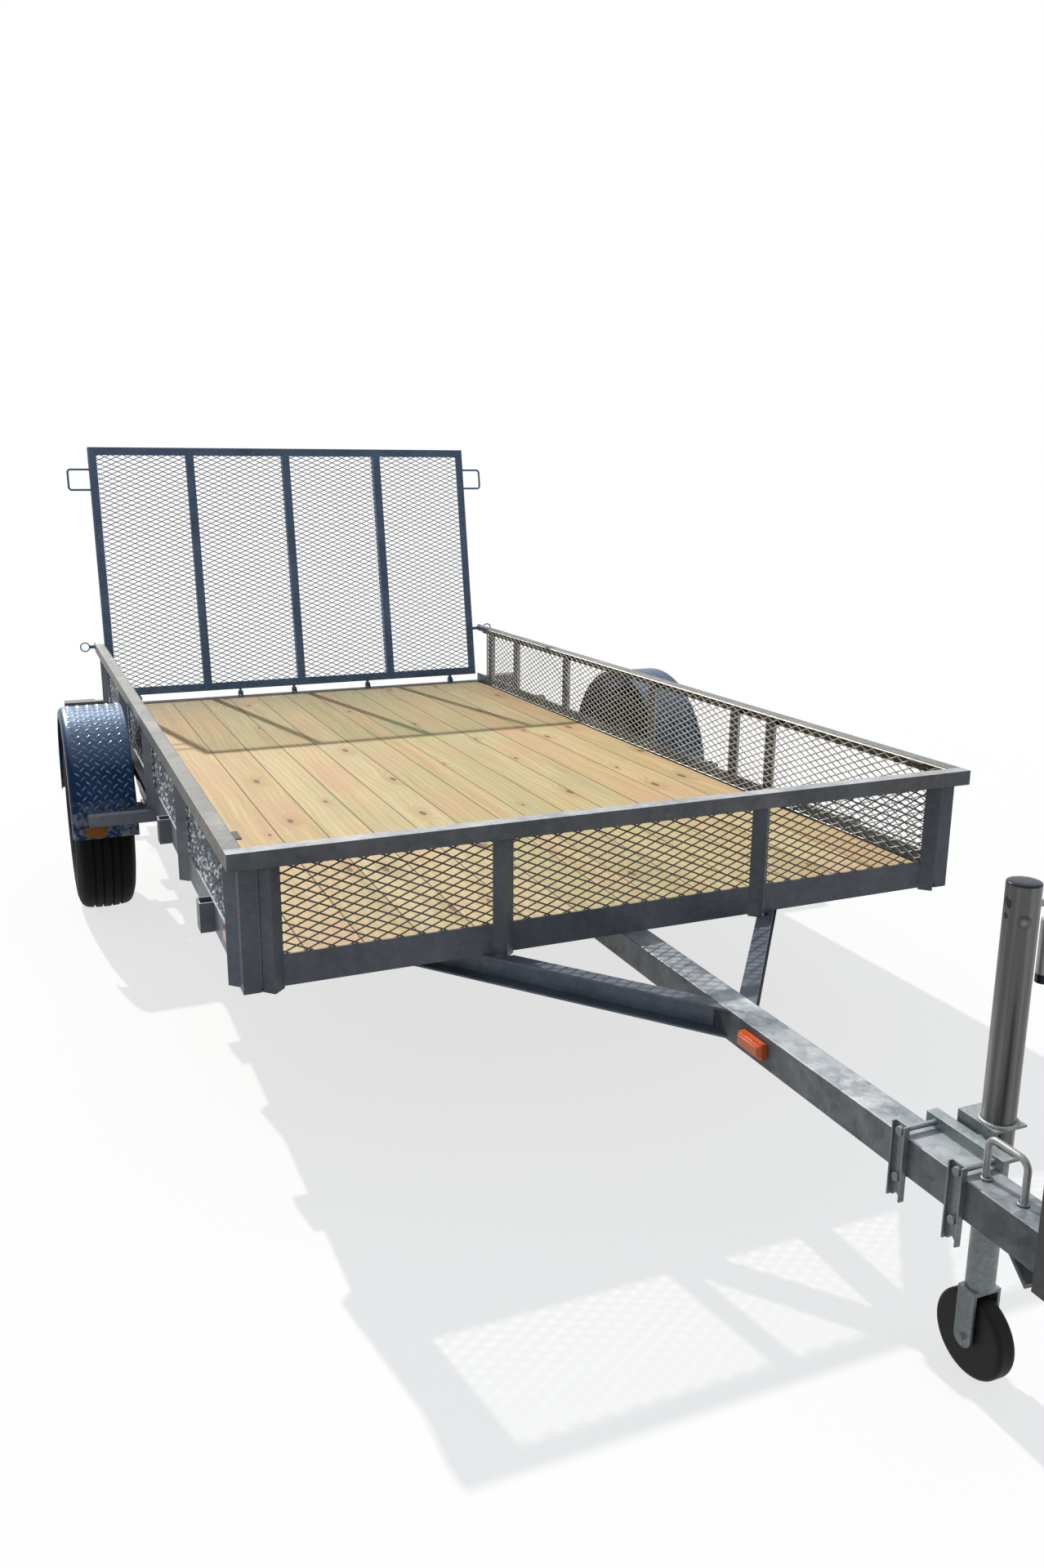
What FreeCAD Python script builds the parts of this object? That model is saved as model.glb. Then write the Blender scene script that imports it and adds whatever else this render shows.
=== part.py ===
"""Single-axle utility trailer with mesh sides and a ramp gate.

Millimetres. +Z is up from the ground, +Y is to the rear, and the tongue points along -Y. Left is -X and
right is +X, as seen from the tongue. The origin is on the ground, midway along and across the trailer.
"""
import FreeCAD, Part
import os
import re
from math import cos, radians, sin

from FreeCAD import Placement, Rotation, Vector

doc = FreeCAD.newDocument("trailer")

# ---------------------------------------------------------------- driving dimensions
# columns: name, millimetres (degrees where the name ends in angle)
SIZES = [
    # bed
    ("deck_top", 500),
    ("board_thick", 32),
    ("board_wide", 140),
    ("board_narrow", 89),
    ("board_gap", 1.5),
    ("board_end_gap", 3),
    ("frame_front", -1159),
    ("deck_side_gap", 15.75),
    ("frame_length", 3610),
    ("rail_height", 76),
    ("rail_flange", 51),
    ("rail_wall", 5),
    ("cross_first", 268),
    ("cross_last", 142),
    ("cross_depth", 76),
    ("cross_flange", 38),
    ("cross_wall", 4),
    # side walls
    ("side_height", 297),
    ("top_leg", 40),
    ("top_wall", 5),
    ("post_leg", 38),
    ("post_wall", 4.8),
    ("post_drop", 5),
    ("front_post_inner", 362),
    ("front_post_outer", 923),
    ("corner_leg", 40),
    ("corner_wall", 5),
    ("mesh_strand_share", 0.22),
    ("mesh_thick", 3),
    ("mesh_lift", 2),
    ("pocket_width", 50),
    ("pocket_depth", 36),
    ("pocket_wall", 4),
    ("pocket_drop", 3),
    ("stub_leg", 18),
    ("stub_wall", 3),
    ("stub_length", 62),
    ("stub_setback", 96),
    # tongue
    ("tongue_size", 70),
    ("tongue_wall", 5),
    ("tongue_reach", 1344),
    ("brace_depth", 68),
    ("brace_flange", 40),
    ("brace_wall", 5),
    ("brace_meet", 483),
    ("brace_angle", 38.4),
    ("lamp_length", 88),
    ("lamp_height", 36),
    ("lamp_thick", 20),
    ("lamp_setback", 584),
    ("handle_ahead", 121),
    ("handle_rod", 12),
    ("handle_height", 76),
    ("handle_length", 82),
    ("skid_width", 60),
    ("skid_wall", 5),
    ("skid_depth", 42),
    ("skid_rise", 24),
    ("skid_back", 67),
    ("skid_knee", 26),
    ("channel_width", 90),
    ("channel_height", 268),
    ("channel_foot", 369),
    ("channel_flange", 48),
    ("channel_wall", 6),
    ("coupler_line", 432),
    ("coupler_height", 76),
    ("coupler_wall", 6),
    ("coupler_reach", 150),
    ("coupler_nose", 37),
    ("fit_gap", 0.3),
    ("ball_radius", 25.4),
    ("ball_play", 0.4),
    ("latch_width", 24),
    ("latch_length", 96),
    ("latch_thick", 9),
    ("latch_post", 26),
    # jack
    ("jack_to_nose", 233),
    ("jack_offset", 100),
    ("jack_tube_size", 57),
    ("jack_tube_wall", 3),
    ("jack_tube_top", 934),
    ("jack_tube_foot", 437),
    ("jack_cap_height", 5),
    ("jack_travel", 254),
    ("jack_leg_play", 0.1),
    ("jack_leg_wall", 4),
    ("jack_leg_engage", 166),
    ("jack_wheel_radius", 80),
    ("jack_wheel_width", 38),
    ("jack_wheel_round", 9),
    ("fork_wall", 6),
    ("fork_gap", 5),
    ("fork_width", 40),
    ("fork_rise", 91),
    ("jack_axle_size", 12),
    ("jack_axle_play", 0.1),
    ("mount_behind", 9),
    ("mount_length", 180),
    ("mount_wall", 5),
    ("mount_depth", 24),
    ("mount_top", 485),
    ("mount_foot", 360),
    ("strap_pitch", 137),
    ("strap_width", 33),
    ("strap_depth", 11),
    ("strap_wall", 3),
    ("strap_top", 487),
    ("strap_foot", 342),
    ("strap_notch", 14),
    ("bolt_size", 10),
    ("bolt_clear", 5),
    ("bolt_play", 0.5),
    ("nut_size", 16),
    ("nut_thick", 7),
    ("swivel_size", 40),
    ("swivel_height", 462),
    ("swivel_play", 0.1),
    ("swivel_end_gap", 1.5),
    ("collar_ahead", 31),
    ("collar_behind", 58),
    ("collar_top", 504),
    ("collar_side", 34),
    ("collar_wall", 4),
    ("crank_height", 894),
    ("crank_rod", 12),
    ("crank_stand", 36),
    ("crank_bend", 14),
    ("crank_arm", 128),
    ("grip_size", 26),
    ("grip_length", 96),
    ("grip_end", 16),
    # running gear
    ("axle_setback", 2088),
    ("axle_height", 344),
    ("axle_size", 60),
    ("spindle_size", 38),
    ("spindle_play", 0.1),
    ("axle_inset", 128),
    ("tyre_clear", 62),
    ("tyre_radius", 344),
    ("tyre_width", 205),
    ("tyre_wall", 12),
    ("tyre_shoulder", 26),
    ("tread_crown", 6),
    ("bead_radius", 190.5),
    ("bead_width", 150),
    ("rim_lip", 14),
    ("rim_wall", 4),
    ("rim_well", 30),
    ("rim_well_width", 60),
    ("disc_wall", 6),
    ("disc_bore", 42),
    ("vent_radius", 17),
    ("vent_circle", 122),
    ("hub_radius", 76),
    ("hub_flange", 10),
    ("hub_length", 92),
    ("hub_barrel", 38),
    ("hub_cap_length", 34),
    ("hub_wall", 5),
    ("stud_circle", 57.15),
    ("stud_size", 12.7),
    ("stud_length", 26),
    ("lug_size", 21),
    ("lug_length", 14),
    ("spring_inset", 25),
    ("spring_width", 45),
    ("spring_leaf", 7),
    ("spring_half", 330),
    ("spring_arch", 24),
    ("spring_eye", 13),
    ("spring_seat", 8),
    ("eye_pin", 14),
    ("hanger_wall", 6),
    ("hanger_length", 52),
    ("hanger_drop", 14),
    ("pin_head", 6),
    # fenders and lamps
    ("fender_radius", 406),
    ("fender_rise", 11),
    ("fender_clear", 56),
    ("fender_width", 220),
    ("bracket_inset", 54),
    ("flat_lamp_inset", 75),
    ("fender_wall", 3),
    ("fender_round", 22),
    ("fender_lip", 16),
    ("fender_angle", 88),
    ("bracket_size", 38),
    ("flat_lamp_width", 62),
    ("flat_lamp_height", 36),
    ("flat_lamp_thick", 12),
    ("flat_lamp_drop", 105),
    ("arm_length", 197),
    ("arm_width", 40),
    ("arm_height", 20),
    ("arm_wall", 3),
    ("arm_rise", 10),
    ("arm_setback", 82),
    ("tail_lamp_width", 140),
    ("tail_lamp_height", 76),
    ("tail_lamp_thick", 36),
    ("reflector_length", 72),
    ("reflector_height", 32),
    ("reflector_thick", 4),
    ("reflector_setback", 182),
    # gate
    ("gate_side_gap", 16),
    ("gate_height", 1213),
    ("gate_lean_angle", 9.6),
    ("gate_leg", 38),
    ("gate_wall", 4.8),
    ("gate_clear", 20),
    ("gate_face", 22.6),
    ("hinge_rise", 10),
    ("hinge_setback", 17),
    ("hinge_pin", 12),
    ("hinge_play", 0.1),
    ("tab_radius", 11),
    ("tab_width", 10),
    ("ear_width", 6),
    ("ear_gap", 0.5),
    ("ear_foot", 34),
    ("loop_rod", 10),
    ("loop_reach", 100),
    ("loop_height", 98),
    ("loop_drop", 104),
    ("loop_bend", 14),
    ("latch_block_length", 75),
    ("latch_block_height", 34),
    ("latch_setback", 61),
    ("latch_pin_drop", 20),
    ("latch_pin_size", 16),
    ("latch_pin_gap", 5),
    ("latch_pin_length", 66),
    ("latch_ring_radius", 21),
    ("latch_ring_rod", 6),
]

# how far along the frame the middle of each stands, as a share of the frame's length
SIDE_POSTS = [0.0177, 0.2391, 0.4662, 0.6920, 0.9496]
RIGHT_EXTRA_POSTS = [0.3003, 0.8546]
POCKETS = [0.1199, 0.3476, 0.7806]
# distances from the middle of the trailer
HINGES = [-825, -322, -42, 356, 825]
BOARDS = ["wide"] * 7 + ["narrow"] + ["wide"] * 6
# openings across and up each expanded sheet, kept few and plain
FRONT_MESH_COUNT = (12, 4)
SIDE_MESH_COUNT = (12, 2)
GATE_MESH_COUNT = (11, 11)
CROSS_COUNT = 6
GATE_BAYS = 4
STUD_COUNT = 5
VENT_COUNT = 10

# sizes that follow from others: the bed from its boards, the tyres and fenders from the bed's width, and
# the jack from the tongue's end
board_widths = f"{BOARDS.count('wide')} * board_wide + {BOARDS.count('narrow')} * board_narrow"
BOARDS_ACROSS = f"{board_widths} + {len(BOARDS) - 1} * board_gap"
RULES = [
    ("frame_width", f"{BOARDS_ACROSS} + 2 * deck_side_gap + 2 * rail_wall"),
    ("cross_pitch", f"(frame_length - cross_first - cross_last) / {CROSS_COUNT - 1}"),
    ("gate_width", "frame_width - 2 * gate_side_gap"),
    ("track_half", "frame_width / 2 + tyre_clear + tyre_width / 2"),
    ("axle_half", "track_half - axle_inset"),
    ("spring_line", "frame_width / 2 - spring_inset"),
    ("fender_inner", "frame_width / 2 + fender_clear"),
    ("fender_outer", "fender_inner + fender_width"),
    ("bracket_reach", "fender_outer - bracket_inset"),
    ("flat_lamp_line", "fender_outer - flat_lamp_inset"),
    ("arm_reach", "frame_width / 2 + arm_length"),
    ("jack_setback", "tongue_reach - jack_to_nose"),
    ("mount_setback", "jack_setback - mount_behind"),
    ("handle_setback", "jack_setback + handle_ahead"),
]

sheet = doc.addObject("Spreadsheet::Sheet", "dims")
for row, (name, value) in enumerate(SIZES, start=1):
    sheet.set(f"A{row}", name)
    sheet.set(f"B{row}", str(value))
    sheet.setAlias(f"B{row}", name)
for row, (name, rule) in enumerate(RULES, start=len(SIZES) + 1):
    sheet.set(f"A{row}", name)
    sheet.set(f"B{row}", f"={rule}")
    sheet.setAlias(f"B{row}", name)
doc.recompute()

ALIAS = re.compile(r"\b(" + "|".join(name for name, _ in SIZES + RULES) + r")\b")
nodes = []


def bind(thing, prop, text):
    """Ties a property to an expression in the sheet's names."""
    thing.setExpression(prop, ALIAS.sub(r"dims.\1", str(text)))


def val(name):
    """A size from the sheet as a number, for shapes that code draws."""
    return float(sheet.get(name))


def worked(text):
    """What an expression in the sheet's names comes to."""
    return float(sheet.evalExpression(text))


def seat(thing, at, axis=(0, 0, 1), angle="0"):
    """Turns an object about an axis and puts its own origin at a place."""
    thing.Placement = Placement(Vector(), Rotation(Vector(*axis), 1))
    bind(thing, "Placement.Rotation.Angle", angle)
    for letter, place in zip("xyz", at):
        bind(thing, f"Placement.Base.{letter}", place)
    return thing


def block(x, y, z):
    """A box between a low and a high place on each axis."""
    solid = doc.addObject("Part::Box", "block")
    for length, letter, (low, high) in zip(("Length", "Width", "Height"), "xyz", (x, y, z)):
        bind(solid, length, f"({high}) - ({low})")
        bind(solid, f"Placement.Base.{letter}", low)
    return solid


TURNS = {
    "+x": ((0, 1, 0), 90),
    "-x": ((0, 1, 0), -90),
    "+y": ((1, 0, 0), -90),
    "+z": ((0, 0, 1), 0),
    "-z": ((1, 0, 0), 180),
}


def rod(way, at, radius, length):
    """A round bar that starts at a place and runs along an axis."""
    solid = doc.addObject("Part::Cylinder", "rod")
    bind(solid, "Radius", radius)
    bind(solid, "Height", length)
    axis, angle = TURNS[way]
    return seat(solid, at, axis, angle)


def ball(at, radius):
    solid = doc.addObject("Part::Sphere", "ball")
    bind(solid, "Radius", radius)
    return seat(solid, at)


def fuse(*solids):
    """One object of several solids, which join where they touch."""
    whole = doc.addObject("Part::MultiFuse", "joined")
    whole.Shapes = list(solids)
    whole.Refine = True
    return whole


def cut(base, *tools):
    whole = doc.addObject("Part::Cut", "cut")
    whole.Base = base
    whole.Tool = fuse(*tools) if len(tools) > 1 else tools[0]
    whole.Refine = True
    return whole


def common(base, tool):
    whole = doc.addObject("Part::Common", "trimmed")
    whole.Base = base
    whole.Tool = tool
    whole.Refine = True
    return whole


def loose(solid):
    """The same solid with a placement of its own, so that it can be turned as a finished piece."""
    whole = doc.addObject("Part::Compound", "loose")
    whole.Links = [solid]
    return whole


def mirror(solid):
    """The same piece on the other side of the trailer."""
    twin = doc.addObject("Part::Mirroring", "mirrored")
    twin.Source = solid
    twin.Normal = Vector(1, 0, 0)
    return twin


def drawn(shape):
    """An object for a shape that code draws from the sheet's sizes."""
    thing = doc.addObject("Part::Feature", "drawn")
    thing.Shape = shape
    thing.Placement = Placement()
    return thing


def expanded(x, y, z, openings):
    """A sheet of expanded steel inside a box, opened by two interleaved grids of diamonds."""
    spans = [(worked(low), worked(high)) for low, high in (x, y, z)]
    corner = Vector(*[low for low, high in spans])
    wide, deep, tall = [high - low for low, high in spans]
    along, through = (Vector(wide, 0, 0), Vector(0, deep, 0)) if wide > deep else (
        Vector(0, deep, 0),
        Vector(wide, 0, 0),
    )
    up = Vector(0, 0, tall)
    columns, rows = openings
    middles = [(column + 0.5, row + 0.5) for column in range(columns) for row in range(rows)]
    middles += [(column, row) for column in range(1, columns) for row in range(1, rows)]
    reach = (1 - val("mesh_strand_share")) / 2
    wires = [Part.makePolygon([corner, corner + along, corner + along + up, corner + up, corner])]
    for column, row in middles:
        middle = corner + along * (column / columns) + up * (row / rows)
        side_tip = along * (reach / columns)
        top_tip = up * (reach / rows)
        tips = [middle - side_tip, middle + top_tip, middle + side_tip, middle - top_tip, middle - side_tip]
        wires.append(Part.makePolygon(tips))
    return drawn(Part.Face(wires).extrude(through))


def node(label, *solids):
    """Names a finished piece, or several pieces that share a name."""
    whole = fuse(*solids) if len(solids) > 1 else solids[0]
    whole.Label = label
    nodes.append(whole)
    return whole


def outward(side, low, high):
    """A span on X at the right (1) or, turned over, at the left (-1)."""
    return (low, high) if side > 0 else (f"-({high})", f"-({low})")


def bent_rod(points, bend, radius):
    """A round bar through points, with its corners bent to a radius."""
    edges = []
    start = points[0]
    for corner, after in zip(points[1:-1], points[2:]):
        back = (start - corner).normalize()
        ahead = (after - corner).normalize()
        half_turn = back.getAngle(ahead) / 2
        reach = bend * cos(half_turn) / sin(half_turn)
        first = corner + back * reach
        last = corner + ahead * reach
        middle_way = (back + ahead).normalize()
        middle = corner + middle_way * (bend / sin(half_turn) - bend)
        edges.append(Part.LineSegment(start, first).toShape())
        edges.append(Part.Arc(first, middle, last).toShape())
        start = last
    edges.append(Part.LineSegment(start, points[-1]).toShape())
    path = Part.Wire(edges)
    way = (points[1] - points[0]).normalize()
    section = Part.Wire([Part.makeCircle(radius, points[0], way)])
    return path.makePipeShell([section], True, False)


def slab(points, low, high):
    """A plate whose outline is drawn on Y and Z, as wide as from low to high on X."""
    outline = [Vector(low, y, z) for y, z in points]
    outline.append(outline[0])
    return Part.Face(Part.makePolygon(outline)).extrude(Vector(high - low, 0, 0))


# ---------------------------------------------------------------- places worked out from the sizes
HALF = "(frame_width / 2)"
REAR = "(frame_front + frame_length)"
DECK_FOOT = "(deck_top - board_thick)"
RAIL_FOOT = "(deck_top - board_thick - rail_wall)"
RAIL_TOP = f"({RAIL_FOOT} + rail_height)"
SIDE_TOP = "(deck_top + side_height)"
POST_DEPTH = "(post_leg * sqrt(0.5))"
POST_FOOT = f"({RAIL_FOOT} - post_drop)"
POST_TOP = f"({SIDE_TOP} - top_wall)"
TOP_OUT = f"({HALF} + {POST_DEPTH} + top_wall)"
TOP_FRONT = f"(frame_front - {POST_DEPTH} - top_wall)"


# ---------------------------------------------------------------- bed frame and deck
node(
    "front_rail",
    block(
        (f"-({HALF} - rail_wall)", f"{HALF} - rail_wall"),
        ("frame_front", "frame_front + rail_wall"),
        (RAIL_FOOT, RAIL_TOP),
    ),
    block(
        (f"-({HALF} - rail_flange)", f"{HALF} - rail_flange"),
        ("frame_front", "frame_front + rail_flange"),
        (RAIL_FOOT, DECK_FOOT),
    ),
)

side_rails = []
for side in (1, -1):
    side_rails.append(
        block(outward(side, f"{HALF} - rail_wall", HALF), ("frame_front", REAR), (RAIL_FOOT, RAIL_TOP)),
    )
    flange_span = ("frame_front + rail_wall", f"{REAR} - rail_wall")
    side_rails.append(
        block(outward(side, f"{HALF} - rail_flange", HALF), flange_span, (RAIL_FOOT, DECK_FOOT)),
    )
node("side_rails", *side_rails)

inside_rails = (f"-({HALF} - rail_wall)", f"{HALF} - rail_wall")
node(
    "rear_rail",
    block(inside_rails, (f"{REAR} - rail_wall", REAR), ("deck_top - rail_height", "deck_top")),
    block(inside_rails, (f"{REAR} - rail_flange", REAR), ("deck_top - rail_wall", "deck_top")),
)

cross_members = []
for place in range(CROSS_COUNT):
    web = f"frame_front + cross_first + {place} * cross_pitch"
    between_flanges = (f"-({HALF} - rail_flange)", f"{HALF} - rail_flange")
    foot = f"{DECK_FOOT} - cross_depth"
    cross_members.append(block(between_flanges, (web, f"{web} + cross_wall"), (foot, DECK_FOOT)))
    cross_members.append(
        block(between_flanges, (web, f"{web} + cross_flange"), (f"{DECK_FOOT} - cross_wall", DECK_FOOT)),
    )
    cross_members.append(
        block(between_flanges, (web, f"{web} + cross_flange"), (foot, f"{foot} + cross_wall")),
    )
node("cross_members", *cross_members)

boards = []
for place, kind in enumerate(BOARDS):
    wide = BOARDS[:place].count("wide")
    narrow = BOARDS[:place].count("narrow")
    left = f"{wide} * board_wide + {narrow} * board_narrow + {place} * board_gap - ({BOARDS_ACROSS}) / 2"
    board_span = ("frame_front + rail_wall", f"{REAR} - rail_flange - board_end_gap")
    boards.append(block((left, f"{left} + board_{kind}"), board_span, (DECK_FOOT, "deck_top")))
node("deck_boards", *boards)


# ---------------------------------------------------------------- side walls
def post(x, y, angle):
    """An upright angle with its corner at a place, turned so that its legs run back to the frame."""
    whole = doc.addObject("Part::Box", "post")
    hollow = doc.addObject("Part::Box", "post_hollow")
    for piece in (whole, hollow):
        bind(piece, "Length", "post_leg")
        bind(piece, "Width", "post_leg")
        bind(piece, "Height", f"{POST_TOP} - {POST_FOOT}")
    seat(hollow, ("post_wall", "post_wall", "0"))
    return seat(cut(whole, hollow), (x, y, POST_FOOT), angle=str(angle))


front_posts = []
for x in ("front_post_inner", "front_post_outer"):
    for sign in ("", "-"):
        front_posts.append(post(f"{sign}{x}", f"frame_front - {POST_DEPTH}", 45))
behind_front = block(
    (f"-{TOP_OUT}", TOP_OUT),
    ("frame_front", "frame_front + post_leg"),
    (POST_FOOT, POST_TOP),
)
node("front_posts", cut(fuse(*front_posts), behind_front))

side_posts = []
for side, shares in ((1, SIDE_POSTS + RIGHT_EXTRA_POSTS), (-1, SIDE_POSTS)):
    corner = f"{HALF} + {POST_DEPTH}" if side > 0 else f"-({HALF} + {POST_DEPTH})"
    for share in shares:
        side_posts.append(post(corner, f"frame_front + {share} * frame_length", 45 + 90 * side))
inside_sides = block((f"-{HALF}", HALF), ("frame_front", REAR), (POST_FOOT, POST_TOP))
node("side_posts", cut(fuse(*side_posts), inside_sides))

corner_angles = []
for side in (1, -1):
    front_face = ("frame_front - corner_wall", "frame_front")
    side_face = ("frame_front - corner_wall", "frame_front - corner_wall + corner_leg")
    outer = f"{HALF} + corner_wall"
    corner_angles.append(
        block(outward(side, f"{outer} - corner_leg", outer), front_face, (POST_FOOT, POST_TOP)),
    )
    corner_angles.append(block(outward(side, HALF, outer), side_face, (POST_FOOT, POST_TOP)))
node("corner_angles", *corner_angles)

node(
    "top_rail_front",
    block(
        (f"-{TOP_OUT}", TOP_OUT),
        (TOP_FRONT, f"{TOP_FRONT} + top_wall"),
        (f"{SIDE_TOP} - top_leg", SIDE_TOP),
    ),
    block((f"-{TOP_OUT}", TOP_OUT), (TOP_FRONT, f"{TOP_FRONT} + top_leg"), (POST_TOP, SIDE_TOP)),
)

top_rails = []
for side in (1, -1):
    leg_down = (f"{TOP_FRONT} + top_wall", REAR)
    leg_in = (f"{TOP_FRONT} + top_leg", REAR)
    top_rails.append(
        block(
            outward(side, f"{TOP_OUT} - top_wall", TOP_OUT),
            leg_down,
            (f"{SIDE_TOP} - top_leg", POST_TOP),
        ),
    )
    top_rails.append(block(outward(side, f"{TOP_OUT} - top_leg", TOP_OUT), leg_in, (POST_TOP, SIDE_TOP)))
node("top_rails_side", *top_rails)

MESH_SPAN = ("deck_top + mesh_lift", POST_TOP)
mesh_out = f"{HALF} - rail_wall"
front_sheet = expanded(
    (f"-({mesh_out} - mesh_thick)", f"{mesh_out} - mesh_thick"),
    ("frame_front + rail_wall", "frame_front + rail_wall + mesh_thick"),
    MESH_SPAN,
    FRONT_MESH_COUNT,
)
node("mesh_front", front_sheet)
side_mesh_rear = f"frame_front + {SIDE_POSTS[-1]} * frame_length + {POST_DEPTH}"
for side, label in ((1, "mesh_right"), (-1, "mesh_left")):
    across = outward(side, f"{mesh_out} - mesh_thick", mesh_out)
    node(label, expanded(across, ("frame_front + rail_wall", side_mesh_rear), MESH_SPAN, SIDE_MESH_COUNT))

wall_clips = []
for side in (1, -1):
    clip_span = ("frame_front + stub_setback", "frame_front + stub_setback + stub_length")
    face = f"{mesh_out} - mesh_thick"
    wall_clips.append(
        block(outward(side, f"{face} - stub_wall", face), clip_span, (f"{POST_TOP} - stub_leg", POST_TOP)),
    )
    wall_clips.append(
        block(outward(side, f"{face} - stub_leg", face), clip_span, (f"{POST_TOP} - stub_wall", POST_TOP)),
    )
node("wall_clips", *wall_clips)

pockets = []
for side in (1, -1):
    for share in POCKETS:
        front = f"frame_front + {share} * frame_length - pocket_width / 2"
        rear = f"frame_front + {share} * frame_length + pocket_width / 2"
        height = (f"{RAIL_FOOT} - pocket_drop", RAIL_TOP)
        depth = outward(side, HALF, f"{HALF} + pocket_depth")
        pockets.append(block(depth, (front, f"{front} + pocket_wall"), height))
        pockets.append(block(depth, (f"{rear} - pocket_wall", rear), height))
        face = outward(side, f"{HALF} + pocket_depth - pocket_wall", f"{HALF} + pocket_depth")
        pockets.append(block(face, (front, rear), height))
node("stake_pockets", *pockets)


# ---------------------------------------------------------------- tongue
TONGUE_FRONT = "(frame_front - tongue_reach)"
TONGUE_FOOT = f"({RAIL_FOOT} - tongue_size)"
tongue_side = "tongue_size / 2"
bore_side = "(tongue_size / 2 - tongue_wall)"
tongue_run = (TONGUE_FRONT, "frame_front + cross_first")
node(
    "tongue",
    cut(
        block((f"-{tongue_side}", tongue_side), tongue_run, (TONGUE_FOOT, RAIL_FOOT)),
        block(
            (f"-{bore_side}", bore_side),
            tongue_run,
            (f"{TONGUE_FOOT} + tongue_wall", f"{RAIL_FOOT} - tongue_wall"),
        ),
    ),
)

# the brace is a channel laid along its own front edge, turned, trimmed at the tongue and at the first cross
# member, and notched where the foot of a front post stands on it
brace_back = "2 * brace_flange"
brace_ahead = "3 * brace_meet"
brace_foot = f"{RAIL_FOOT} - brace_depth"
channel = fuse(
    block(("-brace_flange", "0"), (f"-({brace_back})", brace_ahead), ("-brace_wall", "0")),
    block(
        ("-brace_flange", "0"),
        (f"-({brace_back})", brace_ahead),
        ("-brace_depth", "brace_wall - brace_depth"),
    ),
    block(
        ("-brace_flange", "brace_wall - brace_flange"),
        (f"-({brace_back})", brace_ahead),
        ("-brace_depth", "0"),
    ),
)
seat(channel, (tongue_side, "frame_front - brace_meet", RAIL_FOOT), (0, 0, -1), "brace_angle")
brace_room = block(
    (tongue_side, HALF),
    ("frame_front - 2 * brace_meet", "frame_front + cross_first"),
    (brace_foot, RAIL_FOOT),
)
post_seat = block(
    (f"front_post_inner - {POST_DEPTH}", f"front_post_inner + {POST_DEPTH}"),
    (f"frame_front - {POST_DEPTH}", "frame_front"),
    (POST_FOOT, RAIL_FOOT),
)
brace_right = node("brace_right", cut(common(channel, brace_room), post_seat))
node("brace_left", mirror(brace_right))

tongue_lamps = []
for side in (1, -1):
    lamp_span = (
        "frame_front - lamp_setback - lamp_length / 2",
        "frame_front - lamp_setback + lamp_length / 2",
    )
    lamp_height = (
        f"{RAIL_FOOT} - tongue_size / 2 - lamp_height / 2",
        f"{RAIL_FOOT} - tongue_size / 2 + lamp_height / 2",
    )
    tongue_lamps.append(
        block(outward(side, tongue_side, f"{tongue_side} + lamp_thick"), lamp_span, lamp_height),
    )
node("tongue_lamps", *tongue_lamps)

rail_foot = val("deck_top") - val("board_thick") - val("rail_wall")
tongue_front = val("frame_front") - val("tongue_reach")
tongue_foot = rail_foot - val("tongue_size")

handle_front = val("frame_front") - val("handle_setback") - val("handle_length") / 2
handle_rear = handle_front + val("handle_length")
handle_top = rail_foot + val("handle_height")
handle_points = [
    Vector(0, handle_front, rail_foot),
    Vector(0, handle_front, handle_top),
    Vector(0, handle_rear, handle_top),
    Vector(0, handle_rear, rail_foot),
]
node("lift_handle", drawn(bent_rod(handle_points, 1.5 * val("handle_rod"), val("handle_rod") / 2)))

# a folded gusset from the tongue's underside down to a knee and up to the coupler channel
gusset_wall = val("skid_wall") / cos(radians(45))
knee = (tongue_front + val("skid_knee"), tongue_foot - val("skid_depth"))
back = (tongue_front + val("skid_back"), tongue_foot)
toe = (tongue_front, knee[1] + val("skid_rise"))
gusset = slab(
    [
        back,
        knee,
        toe,
        (toe[0], toe[1] + gusset_wall),
        (knee[0], knee[1] + gusset_wall),
        (back[0] - gusset_wall, back[1]),
    ],
    -val("skid_width") / 2,
    val("skid_width") / 2,
)
node("tongue_gusset", drawn(gusset))

# coupler: an upright channel on the tongue's end, with the ball housing bolted between its flanges
CHANNEL_SIDE = "(channel_width / 2)"
COUPLER_SIDE = f"({CHANNEL_SIDE} - channel_wall - fit_gap)"
BALL_LINE = f"({TONGUE_FRONT} - coupler_reach)"
channel_height = ("channel_foot", "channel_foot + channel_height")
bolt_line = f"{TONGUE_FRONT} - channel_flange / 2 - channel_wall / 2"
bolt_heights = ["coupler_line - coupler_height / 4", "coupler_line + coupler_height / 4"]
channel_parts = [
    block(
        (f"-{CHANNEL_SIDE}", CHANNEL_SIDE),
        (f"{TONGUE_FRONT} - channel_wall", TONGUE_FRONT),
        channel_height,
    ),
]
for side in (1, -1):
    flange = outward(side, f"{CHANNEL_SIDE} - channel_wall", CHANNEL_SIDE)
    channel_parts.append(block(flange, (f"{TONGUE_FRONT} - channel_flange", TONGUE_FRONT), channel_height))
bolt_holes = [
    rod(
        "+x",
        (f"-2 * {CHANNEL_SIDE}", bolt_line, height),
        "bolt_size / 2 + bolt_play",
        f"4 * {CHANNEL_SIDE}",
    )
    for height in bolt_heights
]
node("coupler_channel", cut(fuse(*channel_parts), *bolt_holes))

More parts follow.
